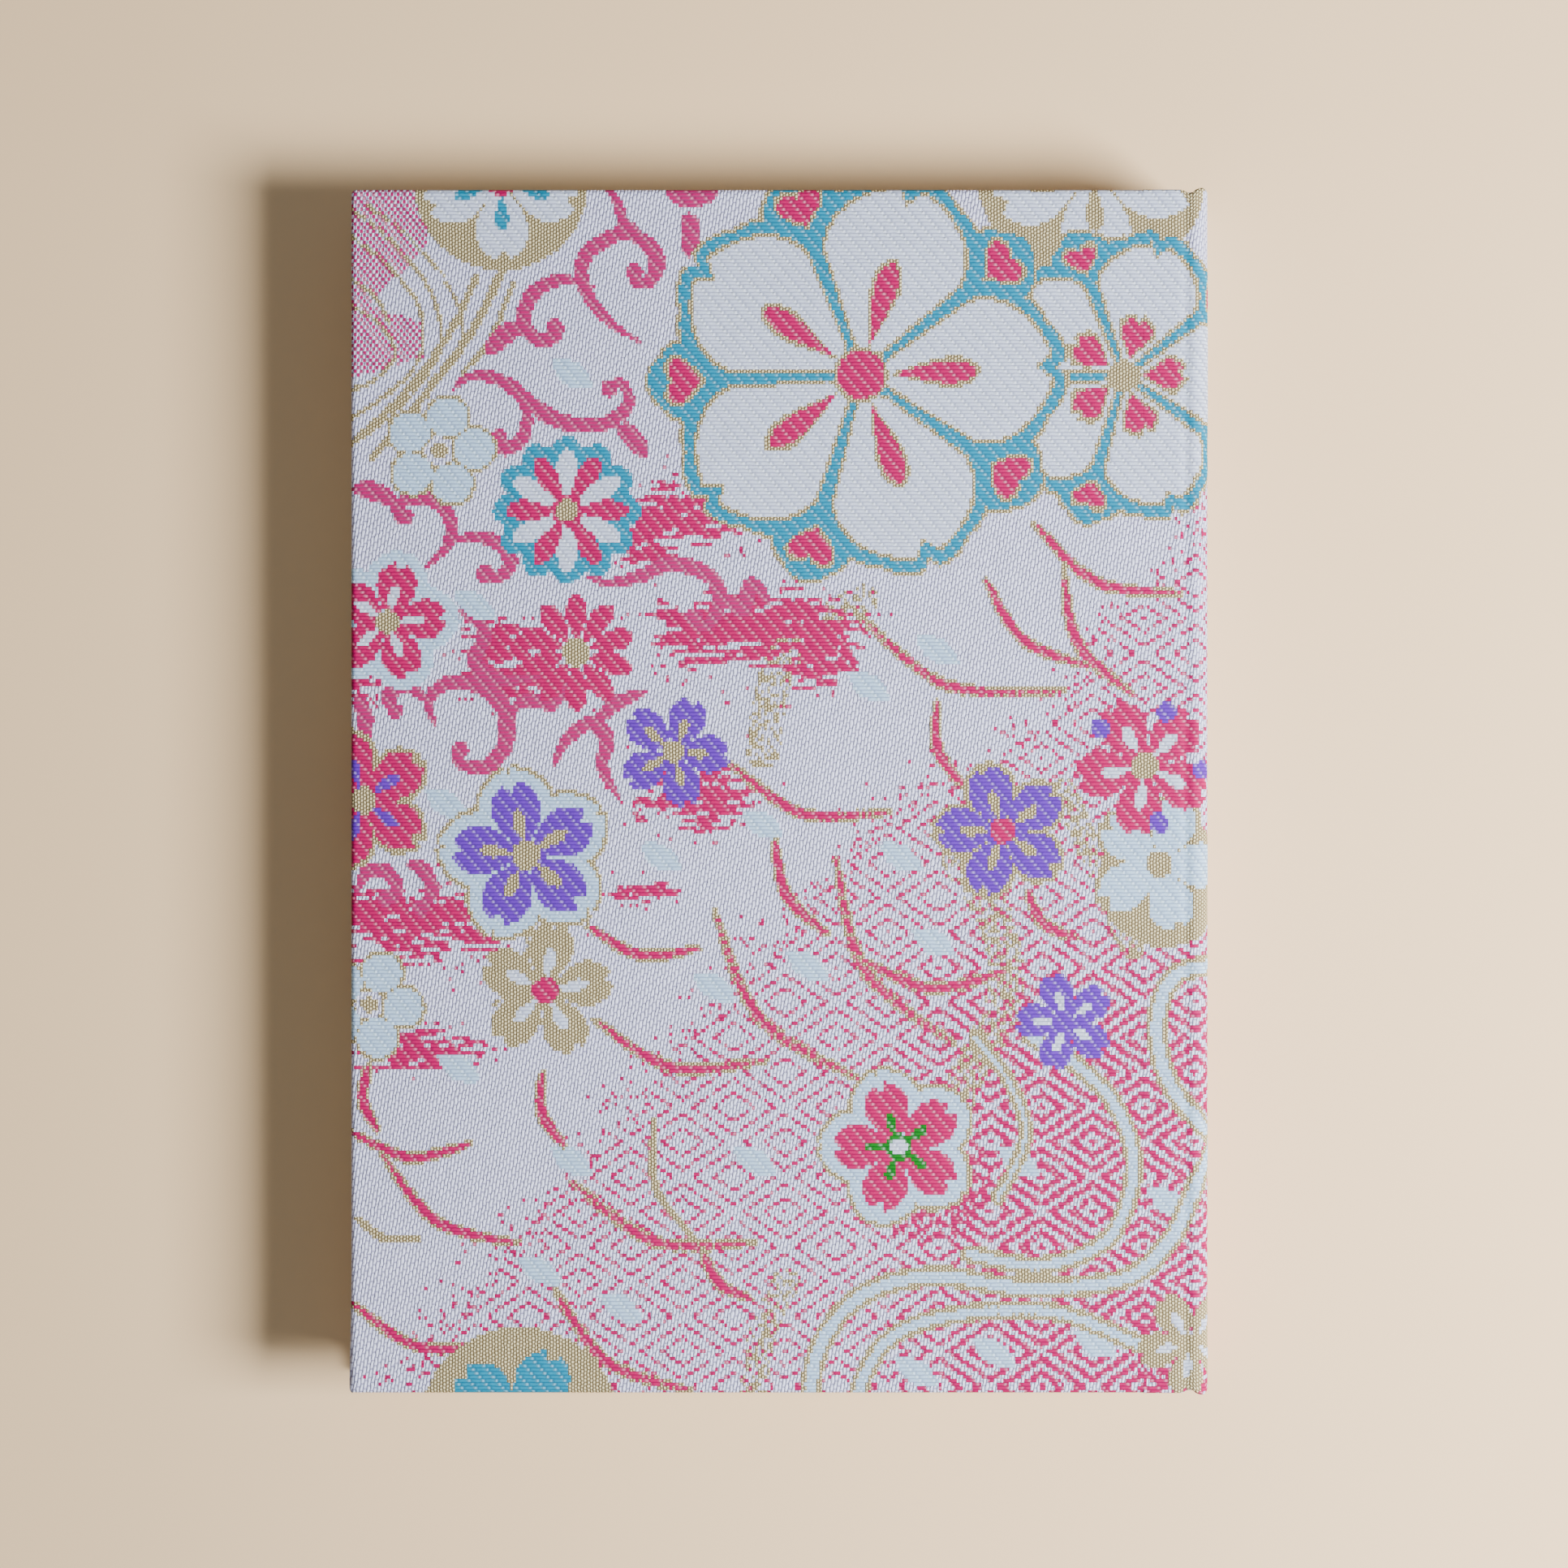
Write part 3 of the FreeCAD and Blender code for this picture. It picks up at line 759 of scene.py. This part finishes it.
def make_mesh(name, points, faces, material, corner_uv=None):
    """A smooth mesh from millimetres, with faces of three or four corners.

    corner_uv holds cloth coordinates for each corner of each face.
    """
    points, faces = weld(np.asarray(points, float), np.asarray(faces, int))
    rows, corners = [], []
    for index, face in enumerate(faces):
        keep = [k for k in range(len(face)) if face[k] != face[k - 1]]
        if len(keep) >= 3 and len({int(face[k]) for k in keep}) == len(keep):
            rows.append([int(face[k]) for k in keep])
            corners += [(index, k) for k in keep]
    mesh = bpy.data.meshes.new(name)
    mesh.from_pydata((points * MM).tolist(), [], rows)
    mesh.materials.append(material)
    mesh.polygons.foreach_set("use_smooth", np.ones(len(rows), bool))
    obj = bpy.data.objects.new(name, mesh)
    bpy.context.scene.collection.objects.link(obj)
    kept = np.array(corners)
    if corner_uv is not None:
        add_cloth(mesh, np.asarray(corner_uv)[kept[:, 0], kept[:, 1]])
    mesh.update()
    return obj


def add_cloth(mesh, uv):
    """The design on a mesh: cloth coordinates per corner, and the yarn of each face's cell."""
    sizes = np.zeros(len(mesh.polygons), int)
    mesh.polygons.foreach_get("loop_total", sizes)
    starts = np.concatenate([[0], np.cumsum(sizes)[:-1]])
    middle = np.add.reduceat(uv, starts, axis=0) / sizes[:, None]
    yarn = woven(middle[:, 0], middle[:, 1])
    colours = np.array([linear(YARNS[name][0]) for name in YARN_NAMES])
    tone = 0.94 + 0.12 * chance(np.round(middle[:, 0] / CELL_U), np.round(middle[:, 1] / PICK), 9)
    weaves = np.array([YARNS[name][1] for name in YARN_NAMES], float)
    gaps = np.array([YARNS[name][2] for name in YARN_NAMES])
    for name, kind, domain, values in (
        ("yarn", "FLOAT_VECTOR", "FACE", colours[yarn] * tone[:, None]),
        ("weave", "FLOAT_VECTOR", "FACE", weaves[yarn]),
        ("gap", "FLOAT", "FACE", gaps[yarn]),
        ("cloth", "FLOAT_VECTOR", "CORNER", np.column_stack([uv, np.zeros(len(uv))])),
    ):
        layer = mesh.attributes.new(name, kind, domain)
        key = "value" if kind == "FLOAT" else "vector"
        layer.data.foreach_set(key, values.astype(np.float32).ravel())
    low, high = uv.min(0), uv.max(0)
    chart = (uv - low) / (high - low)
    chart[:, 1] = 1 - chart[:, 1]
    layer = mesh.uv_layers.new(name="OFBake")
    layer.data.foreach_set("uv", chart.astype(np.float32).ravel())


def relief(u, v):
    """How far the yarn at each point stands above the ground, softened over a cell."""
    heights = np.array([YARNS[name][3] for name in YARN_NAMES])
    steps = ((0.5, 0.5), (0.5, -0.5), (-0.5, 0.5), (-0.5, -0.5))
    return sum(heights[woven(u + a * CELL_U, v + b * PICK)] for a, b in steps) / len(steps)


def slack(u):
    """How far the cloth's edge at head and tail stands off at the joints.

    It sinks in at each crease, where no board fills it, and bulges over the joint.
    """
    out = np.zeros_like(u)
    for crease, way in ((U_CREASE, 1), (U_BACK_CREASE, -1)):
        past = way * (u - crease)
        out += -0.75 * np.exp(-((past + 0.4) / 0.8) ** 2) + 0.45 * np.exp(-((past - 2.4) / 1.3) ** 2)
    return out


def groove(u):
    """How far the cloth sinks beside each crease, where it bends over the board's edge."""
    return 0.28 * (np.exp(-((u - U_CREASE + 1.2) / 0.7) ** 2)
                   + np.exp(-((u - U_BACK_CREASE - 1.2) / 0.7) ** 2))


def unevenness(u, v):
    """The board's and the glue's own slight waviness."""
    return 0.05 * (np.sin(u / 17 + 1.3) * np.sin(v / 23 + 0.4) + 0.6 * np.sin(u / 7.1 + v / 9.3))


def quarter(radius, steps):
    """Outward offsets and drops round a quarter circle."""
    turns = np.linspace(0, math.pi / 2, steps + 1)
    return [(radius * math.sin(t), radius * (1 - math.cos(t))) for t in turns]


def rim_walk(nx, ny, closed, fan=7):
    """Grid places round a panel, with outward directions that fan out at the corners.

    Directions are in the plan: the first number along +x, the second along +y, which is the
    grid's first row.
    """
    walk = []

    def corner(i, j, start):
        for k in range(1, fan):
            turn = math.radians(start + 90 * k / fan)
            walk.append((i, j, math.cos(turn), math.sin(turn)))

    walk += [(i, 0, 0.0, 1.0) for i in range(nx, -1, -1)]
    corner(0, 0, 90)
    walk += [(0, j, -1.0, 0.0) for j in range(ny + 1)]
    corner(0, ny, 180)
    walk += [(i, ny, 0.0, -1.0) for i in range(nx + 1)]
    if closed:
        corner(nx, ny, 270)
        walk += [(nx, j, 1.0, 0.0) for j in range(ny, -1, -1)]
        corner(nx, 0, 0)
    return walk


def grid_faces(rows, columns, start=0):
    """The faces of a grid of points that is stored row by row."""
    j, i = np.mgrid[0:rows - 1, 0:columns - 1]
    first = (start + j * columns + i).ravel()
    return np.column_stack([first, first + columns, first + columns + 1, first + 1])


def picks(edge):
    """The heights of the design's rows, from near the head to near the tail."""
    lines = np.arange(math.ceil(edge / PICK + 0.2), math.floor((V_END - edge) / PICK - 0.2) + 1) * PICK
    return HEAD - np.concatenate([[edge], lines, [V_END - edge]])


FACE_EDGE, INNER_EDGE = 0.9, 0.45  # radii of a cover's edge, outside and where the cloth turns in
BORDER = SQUARE + 0.8  # how much of its turned-in cloth a cover shows
STRIP_EDGE, STRIP_TURN_IN = 0.45, 4.0  # a strip's edge at head and tail, and what shows turned in
LOWEST_FACE = -0.35  # the deepest that a cover's face may sink below its outline


def cover_face(side):
    """The grid of a cover's face: places x and y, cloth coordinates u and v, and the rise."""
    columns = np.arange(math.ceil(FACE_EDGE / CELL_U + 0.2), round((U_CREASE - OVERLAP) / CELL_U) + 1)
    x = FORE + np.concatenate([[FACE_EDGE], columns * CELL_U])
    xs, ys = np.meshgrid(x, picks(FACE_EDGE))
    us, vs = xs - FORE, HEAD - ys
    if side == "back":
        us = U_END - us
    high = relief(us.ravel(), vs.ravel()).reshape(us.shape)
    rise = high - groove(us) + unevenness(us, vs) * np.clip((CREASE - xs) / 6, 0, 1)
    return xs, ys, us, vs, rise


def cover_profile():
    """Outward offsets and drops from the face's rim, round the edge and on to the inside."""
    profile = quarter(FACE_EDGE, 4)[1:]
    profile += [(FACE_EDGE, COVER - INNER_EDGE)]
    profile += [(FACE_EDGE - INNER_EDGE + INNER_EDGE * math.cos(t),
                 COVER - INNER_EDGE + INNER_EDGE * math.sin(t))
                for t in np.linspace(0, math.pi / 2, 4)[1:]]
    profile += [(FACE_EDGE - BORDER, COVER)]
    return np.array(profile)


def cover_cloth(name, side):
    """The cloth of one cover: its face, its rounded edges and what shows of its turn-ins."""
    xs, ys, us, vs, rise = cover_face(side)
    rows, columns = xs.shape
    up, face_z = (1, TOP) if side == "front" else (-1, 0.0)
    points = [np.stack([xs, ys, face_z + up * np.maximum(rise, LOWEST_FACE)], axis=-1).reshape(-1, 3)]
    flat = [np.stack([us, vs], axis=-1).reshape(-1, 2)]
    faces = [grid_faces(rows, columns)]

    profile = cover_profile()
    steps = np.diff(np.vstack([[0, 0], profile]), axis=0)
    lengths = np.cumsum(np.hypot(steps[:, 0], steps[:, 1]))
    walk = rim_walk(columns - 1, rows - 1, closed=False)
    places = np.array([j * columns + i for i, j, _, _ in walk])
    out = np.array([(dx, dy) for _, _, dx, dy in walk])
    rim, rim_flat = points[0][places], flat[0][places]
    # At the fore-edge the turned-in cloth stands off a little, next to the tail.
    bulge = 0.35 * np.exp(-((HEAD + rim[:, 1]) / 12) ** 2) * (out[:, 0] < -0.5)
    for (offset, drop), length in zip(profile, lengths):
        at = rim[:, :2] + out * (offset + (bulge * (drop > 0.5))[:, None])
        if offset < 0:
            at[:, 0] = np.maximum(at[:, 0], xs[0, 0] - offset)
            at[:, 1] = np.clip(at[:, 1], ys[-1, 0] - offset, ys[0, 0] + offset)
        fade = np.clip(1 - drop / FACE_EDGE, 0, 1)
        points.append(np.column_stack([at, face_z - up * drop + (rim[:, 2] - face_z) * fade]))
        flat.append(rim_flat + out * np.array([up, -1]) * length)
    start, around = rows * columns, len(walk)
    rings = [places] + [start + m * around + np.arange(around) for m in range(len(profile))]
    for first, second in zip(rings, rings[1:]):
        faces.append(np.column_stack([second[:-1], second[1:], first[1:], first[:-1]]))
    points, flat, faces = np.vstack(points), np.vstack(flat), np.vstack(faces)
    if side == "back":
        faces = faces[:, ::-1]
    obj = make_mesh(name, points, faces, BROCADE, flat[faces])
    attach(obj, f"{side}_cover")
    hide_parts(f"{side}_cover_cloth")
    return obj


def strip_ends():
    """A strip's cloth past the end of its face, in lines across it.

    For each line: its place past the face's end, its drop and its share of the section's
    depth; and, in a second list, the length of cloth up to it.
    """
    ends = [(STRIP_EDGE * math.sin(t), STRIP_EDGE * (1 - math.cos(t)), 0.0)
            for t in np.linspace(0, math.pi / 2, 5)[1:]]
    ends += [(STRIP_EDGE, -0.25, 1.0), (STRIP_EDGE - 0.07, -0.07, 1.0), (STRIP_EDGE - 0.25, 0.0, 1.0),
             (STRIP_EDGE - STRIP_TURN_IN, 0.0, 1.0)]
    lengths = (0.2, 0.4, 0.6, 0.71, 2.8, 3.1, 3.3, 3.1 + STRIP_TURN_IN)
    return ends, lengths


def strip_cloth(name, section, u_start):
    """A long strip of the case cloth, turned in at head and tail.

    section lists points (x, z, depth) across the strip, where depth is how far its ends turn in.
    """
    section, depth = np.array(section)[:, :2], np.array(section)[:, 2]
    tangent = np.gradient(section, axis=0)
    tangent /= np.linalg.norm(tangent, axis=1)[:, None]
    normal = np.column_stack([-tangent[:, 1], tangent[:, 0]])
    spans = np.linalg.norm(np.diff(section, axis=0), axis=1)
    u = u_start + np.concatenate([[0], np.cumsum(spans)])
    ends, lengths = strip_ends()
    rows = [(y, HEAD - y, 0.0, 0.0, True) for y in picks(STRIP_EDGE)]
    head = [(HEAD - STRIP_EDGE + out, STRIP_EDGE - length, drop, share, False)
            for (out, drop, share), length in zip(ends, lengths)]
    tail = [(TAIL + STRIP_EDGE - out, V_END - STRIP_EDGE + length, drop, share, False)
            for (out, drop, share), length in zip(ends, lengths)]
    rows = head[::-1] + rows + tail
    points, flat = [], []
    loose = slack(u)
    for y, v, drop, share, on_face in rows:
        near_end = np.clip((abs(y) - (HEAD - 6)) / 5, 0, 1)
        sunk = groove(u) * (on_face or share == 0)
        height = relief(u, np.full_like(u, v)) * on_face - sunk
        at = section + normal * (height - (drop + share * depth))[:, None]
        points.append(np.column_stack([at[:, 0], y + np.sign(y) * loose * near_end, at[:, 1]]))
        flat.append(np.column_stack([u, np.full_like(u, v)]))
    faces = grid_faces(len(rows), len(u))
    points, flat = np.vstack(points), np.vstack(flat)
    obj = make_mesh(name, points, faces, BROCADE, flat[faces])
    return obj


def arc(centre, start, end, steps):
    """Points (x, z, depth) on a circle of the joint's radius, in degrees from +x towards +z."""
    turns = np.radians(np.linspace(start, end, steps + 1))
    return [(centre[0] + JOINT * math.cos(t), centre[1] + JOINT * math.sin(t), 2 * CLOTH) for t in turns]


def flat_run(start, end, steps, depth=COVER):
    """Points (x, z, depth) on a straight run, without its end point."""
    return [(*(np.array(start) + (np.array(end) - start) * k / steps), depth) for k in range(steps)]


def joint_backing(name, centre, start, end):
    """The cloth's paper backing, which shows inside a joint when a cover is open."""
    inner = JOINT - CLOTH - 0.03
    turns = np.radians(np.linspace(start, end, 11))
    ys = np.linspace(HEAD - CLOTH, TAIL + CLOTH, 60)
    x = centre[0] + inner * np.cos(turns)
    z = centre[1] + inner * np.sin(turns)
    grid = [np.column_stack([x, np.full_like(x, y), z]) for y in ys]
    faces = grid_faces(len(ys), len(turns))[:, ::-1]
    obj = make_mesh(name, np.vstack(grid), faces, KRAFT)
    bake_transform(obj)


front_centre, back_centre = (CREASE, TOP - JOINT), (CREASE, JOINT)
run = round(OVERLAP / CELL_U)

cover_cloth("front_cloth", "front")
cover_cloth("back_cloth", "back")

upper = strip_cloth("front_joint_upper",
                    flat_run((CREASE - OVERLAP, TOP), (CREASE, TOP), run)
                    + arc(front_centre, 90, 45, 10),
                    U_CREASE - OVERLAP)
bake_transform(upper)
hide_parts("front_joint_cloth")

spine_steps = round(SPINE_FLAT / CELL_U)
spine_cloth = strip_cloth("spine_cloth_sheet",
                          arc(front_centre, 45, 0, 10)[:-1]
                          + flat_run((BACK, TOP - JOINT), (BACK, JOINT), spine_steps)
                          + [(BACK, JOINT, COVER)],
                          U_CREASE + JOINT_LENGTH / 2)
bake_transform(spine_cloth)
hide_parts("spine_cloth", "front_joint_cloth")

back_joint = strip_cloth("back_joint_sheet",
                         arc(back_centre, 0, -90, 18)[:-1]
                         + flat_run((CREASE, 0), (CREASE - OVERLAP, 0), run)
                         + [(CREASE - OVERLAP, 0, COVER)],
                         U_SPINE_END)
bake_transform(back_joint)
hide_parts("back_joint_cloth")

joint_backing("front_backing_upper", front_centre, 90, 45)
joint_backing("front_backing_lower", front_centre, 45, 0)
joint_backing("back_backing", back_centre, 0, -90)


# ---------------------------------------------------------------- pages and paper
def slab(name, low, high, edge, material, warp=0.0, seed=0.0, nx=20, ny=28):
    """A thin leaf with softened edges and corners, very slightly wavy."""
    x = np.linspace(low[0] + edge, high[0] - edge, nx + 1)
    y = np.linspace(high[1] - edge, low[1] + edge, ny + 1)
    xs, ys = np.meshgrid(x, y)
    wavy = warp * np.sin(xs / 31 + seed) * np.cos(ys / 43 + 1.7 * seed)
    top = np.stack([xs, ys, high[2] + wavy], axis=-1).reshape(-1, 3)
    bottom = np.stack([xs, ys, low[2] + wavy], axis=-1).reshape(-1, 3)
    thick = high[2] - low[2]
    walk = rim_walk(nx, ny, closed=True, fan=4)
    places = np.array([j * (nx + 1) + i for i, j, _, _ in walk])
    out = np.array([(dx, dy) for _, _, dx, dy in walk])
    profile = quarter(edge, 3)[1:]
    profile += [(o, thick - d) for o, d in profile[::-1]]
    points, count = [top], len(top)
    for offset, drop in profile:
        at = top[places]
        points.append(np.column_stack([at[:, :2] + out * offset, at[:, 2] - drop]))
    points.append(bottom)
    around = len(walk)
    last = count + len(profile) * around
    rings = [places] + [count + m * around + np.arange(around) for m in range(len(profile))]
    rings.append(last + places)
    faces = [grid_faces(ny + 1, nx + 1), grid_faces(ny + 1, nx + 1, last)[:, ::-1]]
    for first, second in zip(rings, rings[1:]):
        faces.append(np.column_stack([second, np.roll(second, -1), np.roll(first, -1), first]))
    return make_mesh(name, np.vstack(points), np.vstack(faces), material)


def page(number):
    """A card page, and the linen guard that hinges it to the spine."""
    low, high = box_mm(f"page_{number:02d}")
    half, middle = (high[2] - low[2]) / 2, (low[2] + high[2]) / 2
    shrink = 0.35 * math.sin(2.3 * number)
    low[0] += 0.2 + 0.3 * abs(math.sin(3.1 * number))
    low[1] += 0.4 + shrink
    high[1] -= 0.4 - shrink
    leaf = slab(f"card_page_{number:02d}", low, high, 0.16, CARD, warp=0.05, seed=0.9 * number)
    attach(leaf, f"page_{number:02d}")
    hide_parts(f"page_{number:02d}")
    linen_guard(number, high[0] - half, middle, half)


def guard_line(root, hinge, half):
    """A guard's course from the mull over the hinge on to its page: places x and lifts."""
    on_page, lift = 11.0, half + 0.06
    return curve_through([(root, 0.0), (hinge + 0.8, 0.0), (hinge + 0.45, 0.16), (hinge + 0.1, 0.44),
                          (hinge - 0.5, lift), (hinge - 3.5, lift), (hinge - on_page, lift)], 4)


def linen_guard(number, hinge, middle, half):
    """A thin closed strip of linen, glued to the mull and to the side of its page."""
    guard_low, guard_high = box_mm(f"guard_{number:02d}")
    lower_half = number <= len(PAGES) // 2
    up = 1 if lower_half else -1
    thin = 0.1
    line = guard_line(guard_high[0], hinge, half)
    ys = np.linspace(guard_high[1], guard_low[1], 40)
    rows, columns = len(ys), len(line)
    shape = (rows, columns)
    layers = []
    for lift in (thin / 2, -thin / 2):
        z = middle + up * (line[:, 1] + lift)
        sides = [np.broadcast_to(side, shape) for side in (line[:, 0], ys[:, None], z)]
        layers.append(np.stack(sides, axis=-1).reshape(-1, 3))
    count = rows * columns
    index = np.arange(count).reshape(shape)
    ring = np.concatenate([index[0, :-1], index[:-1, -1], index[-1, :0:-1], index[:0:-1, 0]])
    rim = np.column_stack([ring, np.roll(ring, -1), np.roll(ring, -1) + count, ring + count])
    faces = np.vstack([grid_faces(rows, columns), grid_faces(rows, columns, count)[:, ::-1], rim])
    if lower_half:
        faces = faces[:, ::-1]
    guard = make_mesh(f"linen_guard_{number:02d}", np.vstack(layers), faces, LINEN)
    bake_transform(guard)
    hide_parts(f"guard_{number:02d}")


PAGES = sorted(name for name in frame["nodes"] if name.startswith("page_"))
for number in range(1, len(PAGES) + 1):
    page(number)

for side in ("back", "front"):
    low, high = box_mm(f"{side}_flyleaf")
    leaf = slab(f"{side}_flyleaf_sheet", low, high, 0.08, ENDPAPER, warp=0.03, seed=2.0)
    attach(leaf, "front_joint" if side == "front" else "back_cover")
    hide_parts(f"{side}_flyleaf")
    low, high = box_mm(f"{side}_pastedown")
    leaf = slab(f"{side}_pastedown_sheet", low, high, 0.06, ENDPAPER, seed=1.0)
    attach(leaf, f"{side}_cover")
    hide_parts(f"{side}_pastedown")


def rolled_band(name, node):
    """A headband: a cord sewn over with silk; its small tape is not made."""
    low, high = box_mm(node)
    centre, radius = (low + high) / 2, (high[0] - low[0]) / 2
    heights = np.linspace(low[2], high[2], 90)
    turns = np.linspace(0, 2 * math.pi, 25)[:-1]
    points, faces = [], []
    for z in heights:
        end = min(z - low[2], high[2] - z)
        swell = radius * (0.93 + 0.05 * abs(math.sin(math.pi * z / 0.55)))
        swell *= math.sqrt(max(0.0, 1 - max(0.0, 1 - end / 0.5) ** 2)) if end < 0.5 else 1.0
        points += [(centre[0] + swell * math.cos(t), centre[1] + swell * math.sin(t), z) for t in turns]
    around = len(turns)
    for ring in range(len(heights) - 1):
        a = ring * around + np.arange(around)
        b = ring * around + (np.arange(around) + 1) % around
        faces.append(np.column_stack([a, b, b + around, a + around]))
    band_mesh = make_mesh(name, np.array(points), np.vstack(faces), BAND)
    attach(band_mesh, "spine")
    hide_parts(node)


rolled_band("sewn_headband", "headband")
rolled_band("sewn_tailband", "tailband")


# The CAD nodes that keep their shape, with their finish.
for node, material in (("front_board", GREYBOARD), ("back_board", GREYBOARD), ("spine_board", GREYBOARD),
                       ("spacer_strips", GREYBOARD), ("front_infill", CARD), ("back_infill", CARD),
                       ("spine_lining", KRAFT), ("mull", MULL)):
    for slot in frame["nodes"][node].material_slots:
        slot.material = material


# ---------------------------------------------------------------- stage, light and camera
def floor():
    """A plain pale floor."""
    n = Nodes("pale floor", 0.8)
    grain = n.noise(n.position(), 4, 3.0)
    material = n.finish(n.mix(grain, linear((238, 204, 156)), linear((243, 210, 164))))
    mesh = bpy.data.meshes.new("floor")
    half, level = 3.0, -0.0002
    corners = ((-half, -half), (half, -half), (half, half), (-half, half))
    mesh.from_pydata([(x, y, level) for x, y in corners], [], [(0, 1, 2, 3)])
    mesh.materials.append(material)
    obj = bpy.data.objects.new("floor", mesh)
    bpy.context.scene.collection.objects.link(obj)


def lamp(name, place, size, power, colour=(1.0, 1.0, 1.0)):
    """A soft square light that looks at the album."""
    light = bpy.data.lights.new(name, "AREA")
    light.size, light.energy, light.color = size, power, colour
    obj = bpy.data.objects.new(name, light)
    obj.location = place
    obj.rotation_euler = (-Vector(place)).to_track_quat("-Z", "Y").to_euler()
    bpy.context.scene.collection.objects.link(obj)


def camera():
    """Straight down on the front cover, as wide as the photograph."""
    frame_width, lens = 281.2 * MM, 70.0
    data = bpy.data.cameras.new("camera")
    data.lens, data.sensor_width = lens, 36.0
    data.clip_start = 0.01
    height = TOP * MM + frame_width * lens / data.sensor_width
    obj = bpy.data.objects.new("camera", data)
    obj.location = (0.7 * MM, 1.3 * MM, height)
    bpy.context.scene.collection.objects.link(obj)
    bpy.context.scene.camera = obj


def world(strength):
    """Even, slightly cool fill light from all round."""
    sky = bpy.data.worlds.new("studio")
    sky.use_nodes = True
    background = next(n for n in sky.node_tree.nodes if n.type == "BACKGROUND")
    background.inputs["Color"].default_value = (0.92, 0.95, 1.0, 1)
    background.inputs["Strength"].default_value = strength
    bpy.context.scene.world = sky


floor()
lamp("window", (0.52, -0.13, 0.47), 0.27, 16.3, (0.965, 0.975, 1.0))
lamp("ceiling", (-0.2, 0.2, 1.5), 1.6, 1.5)
world(0.2)
camera()
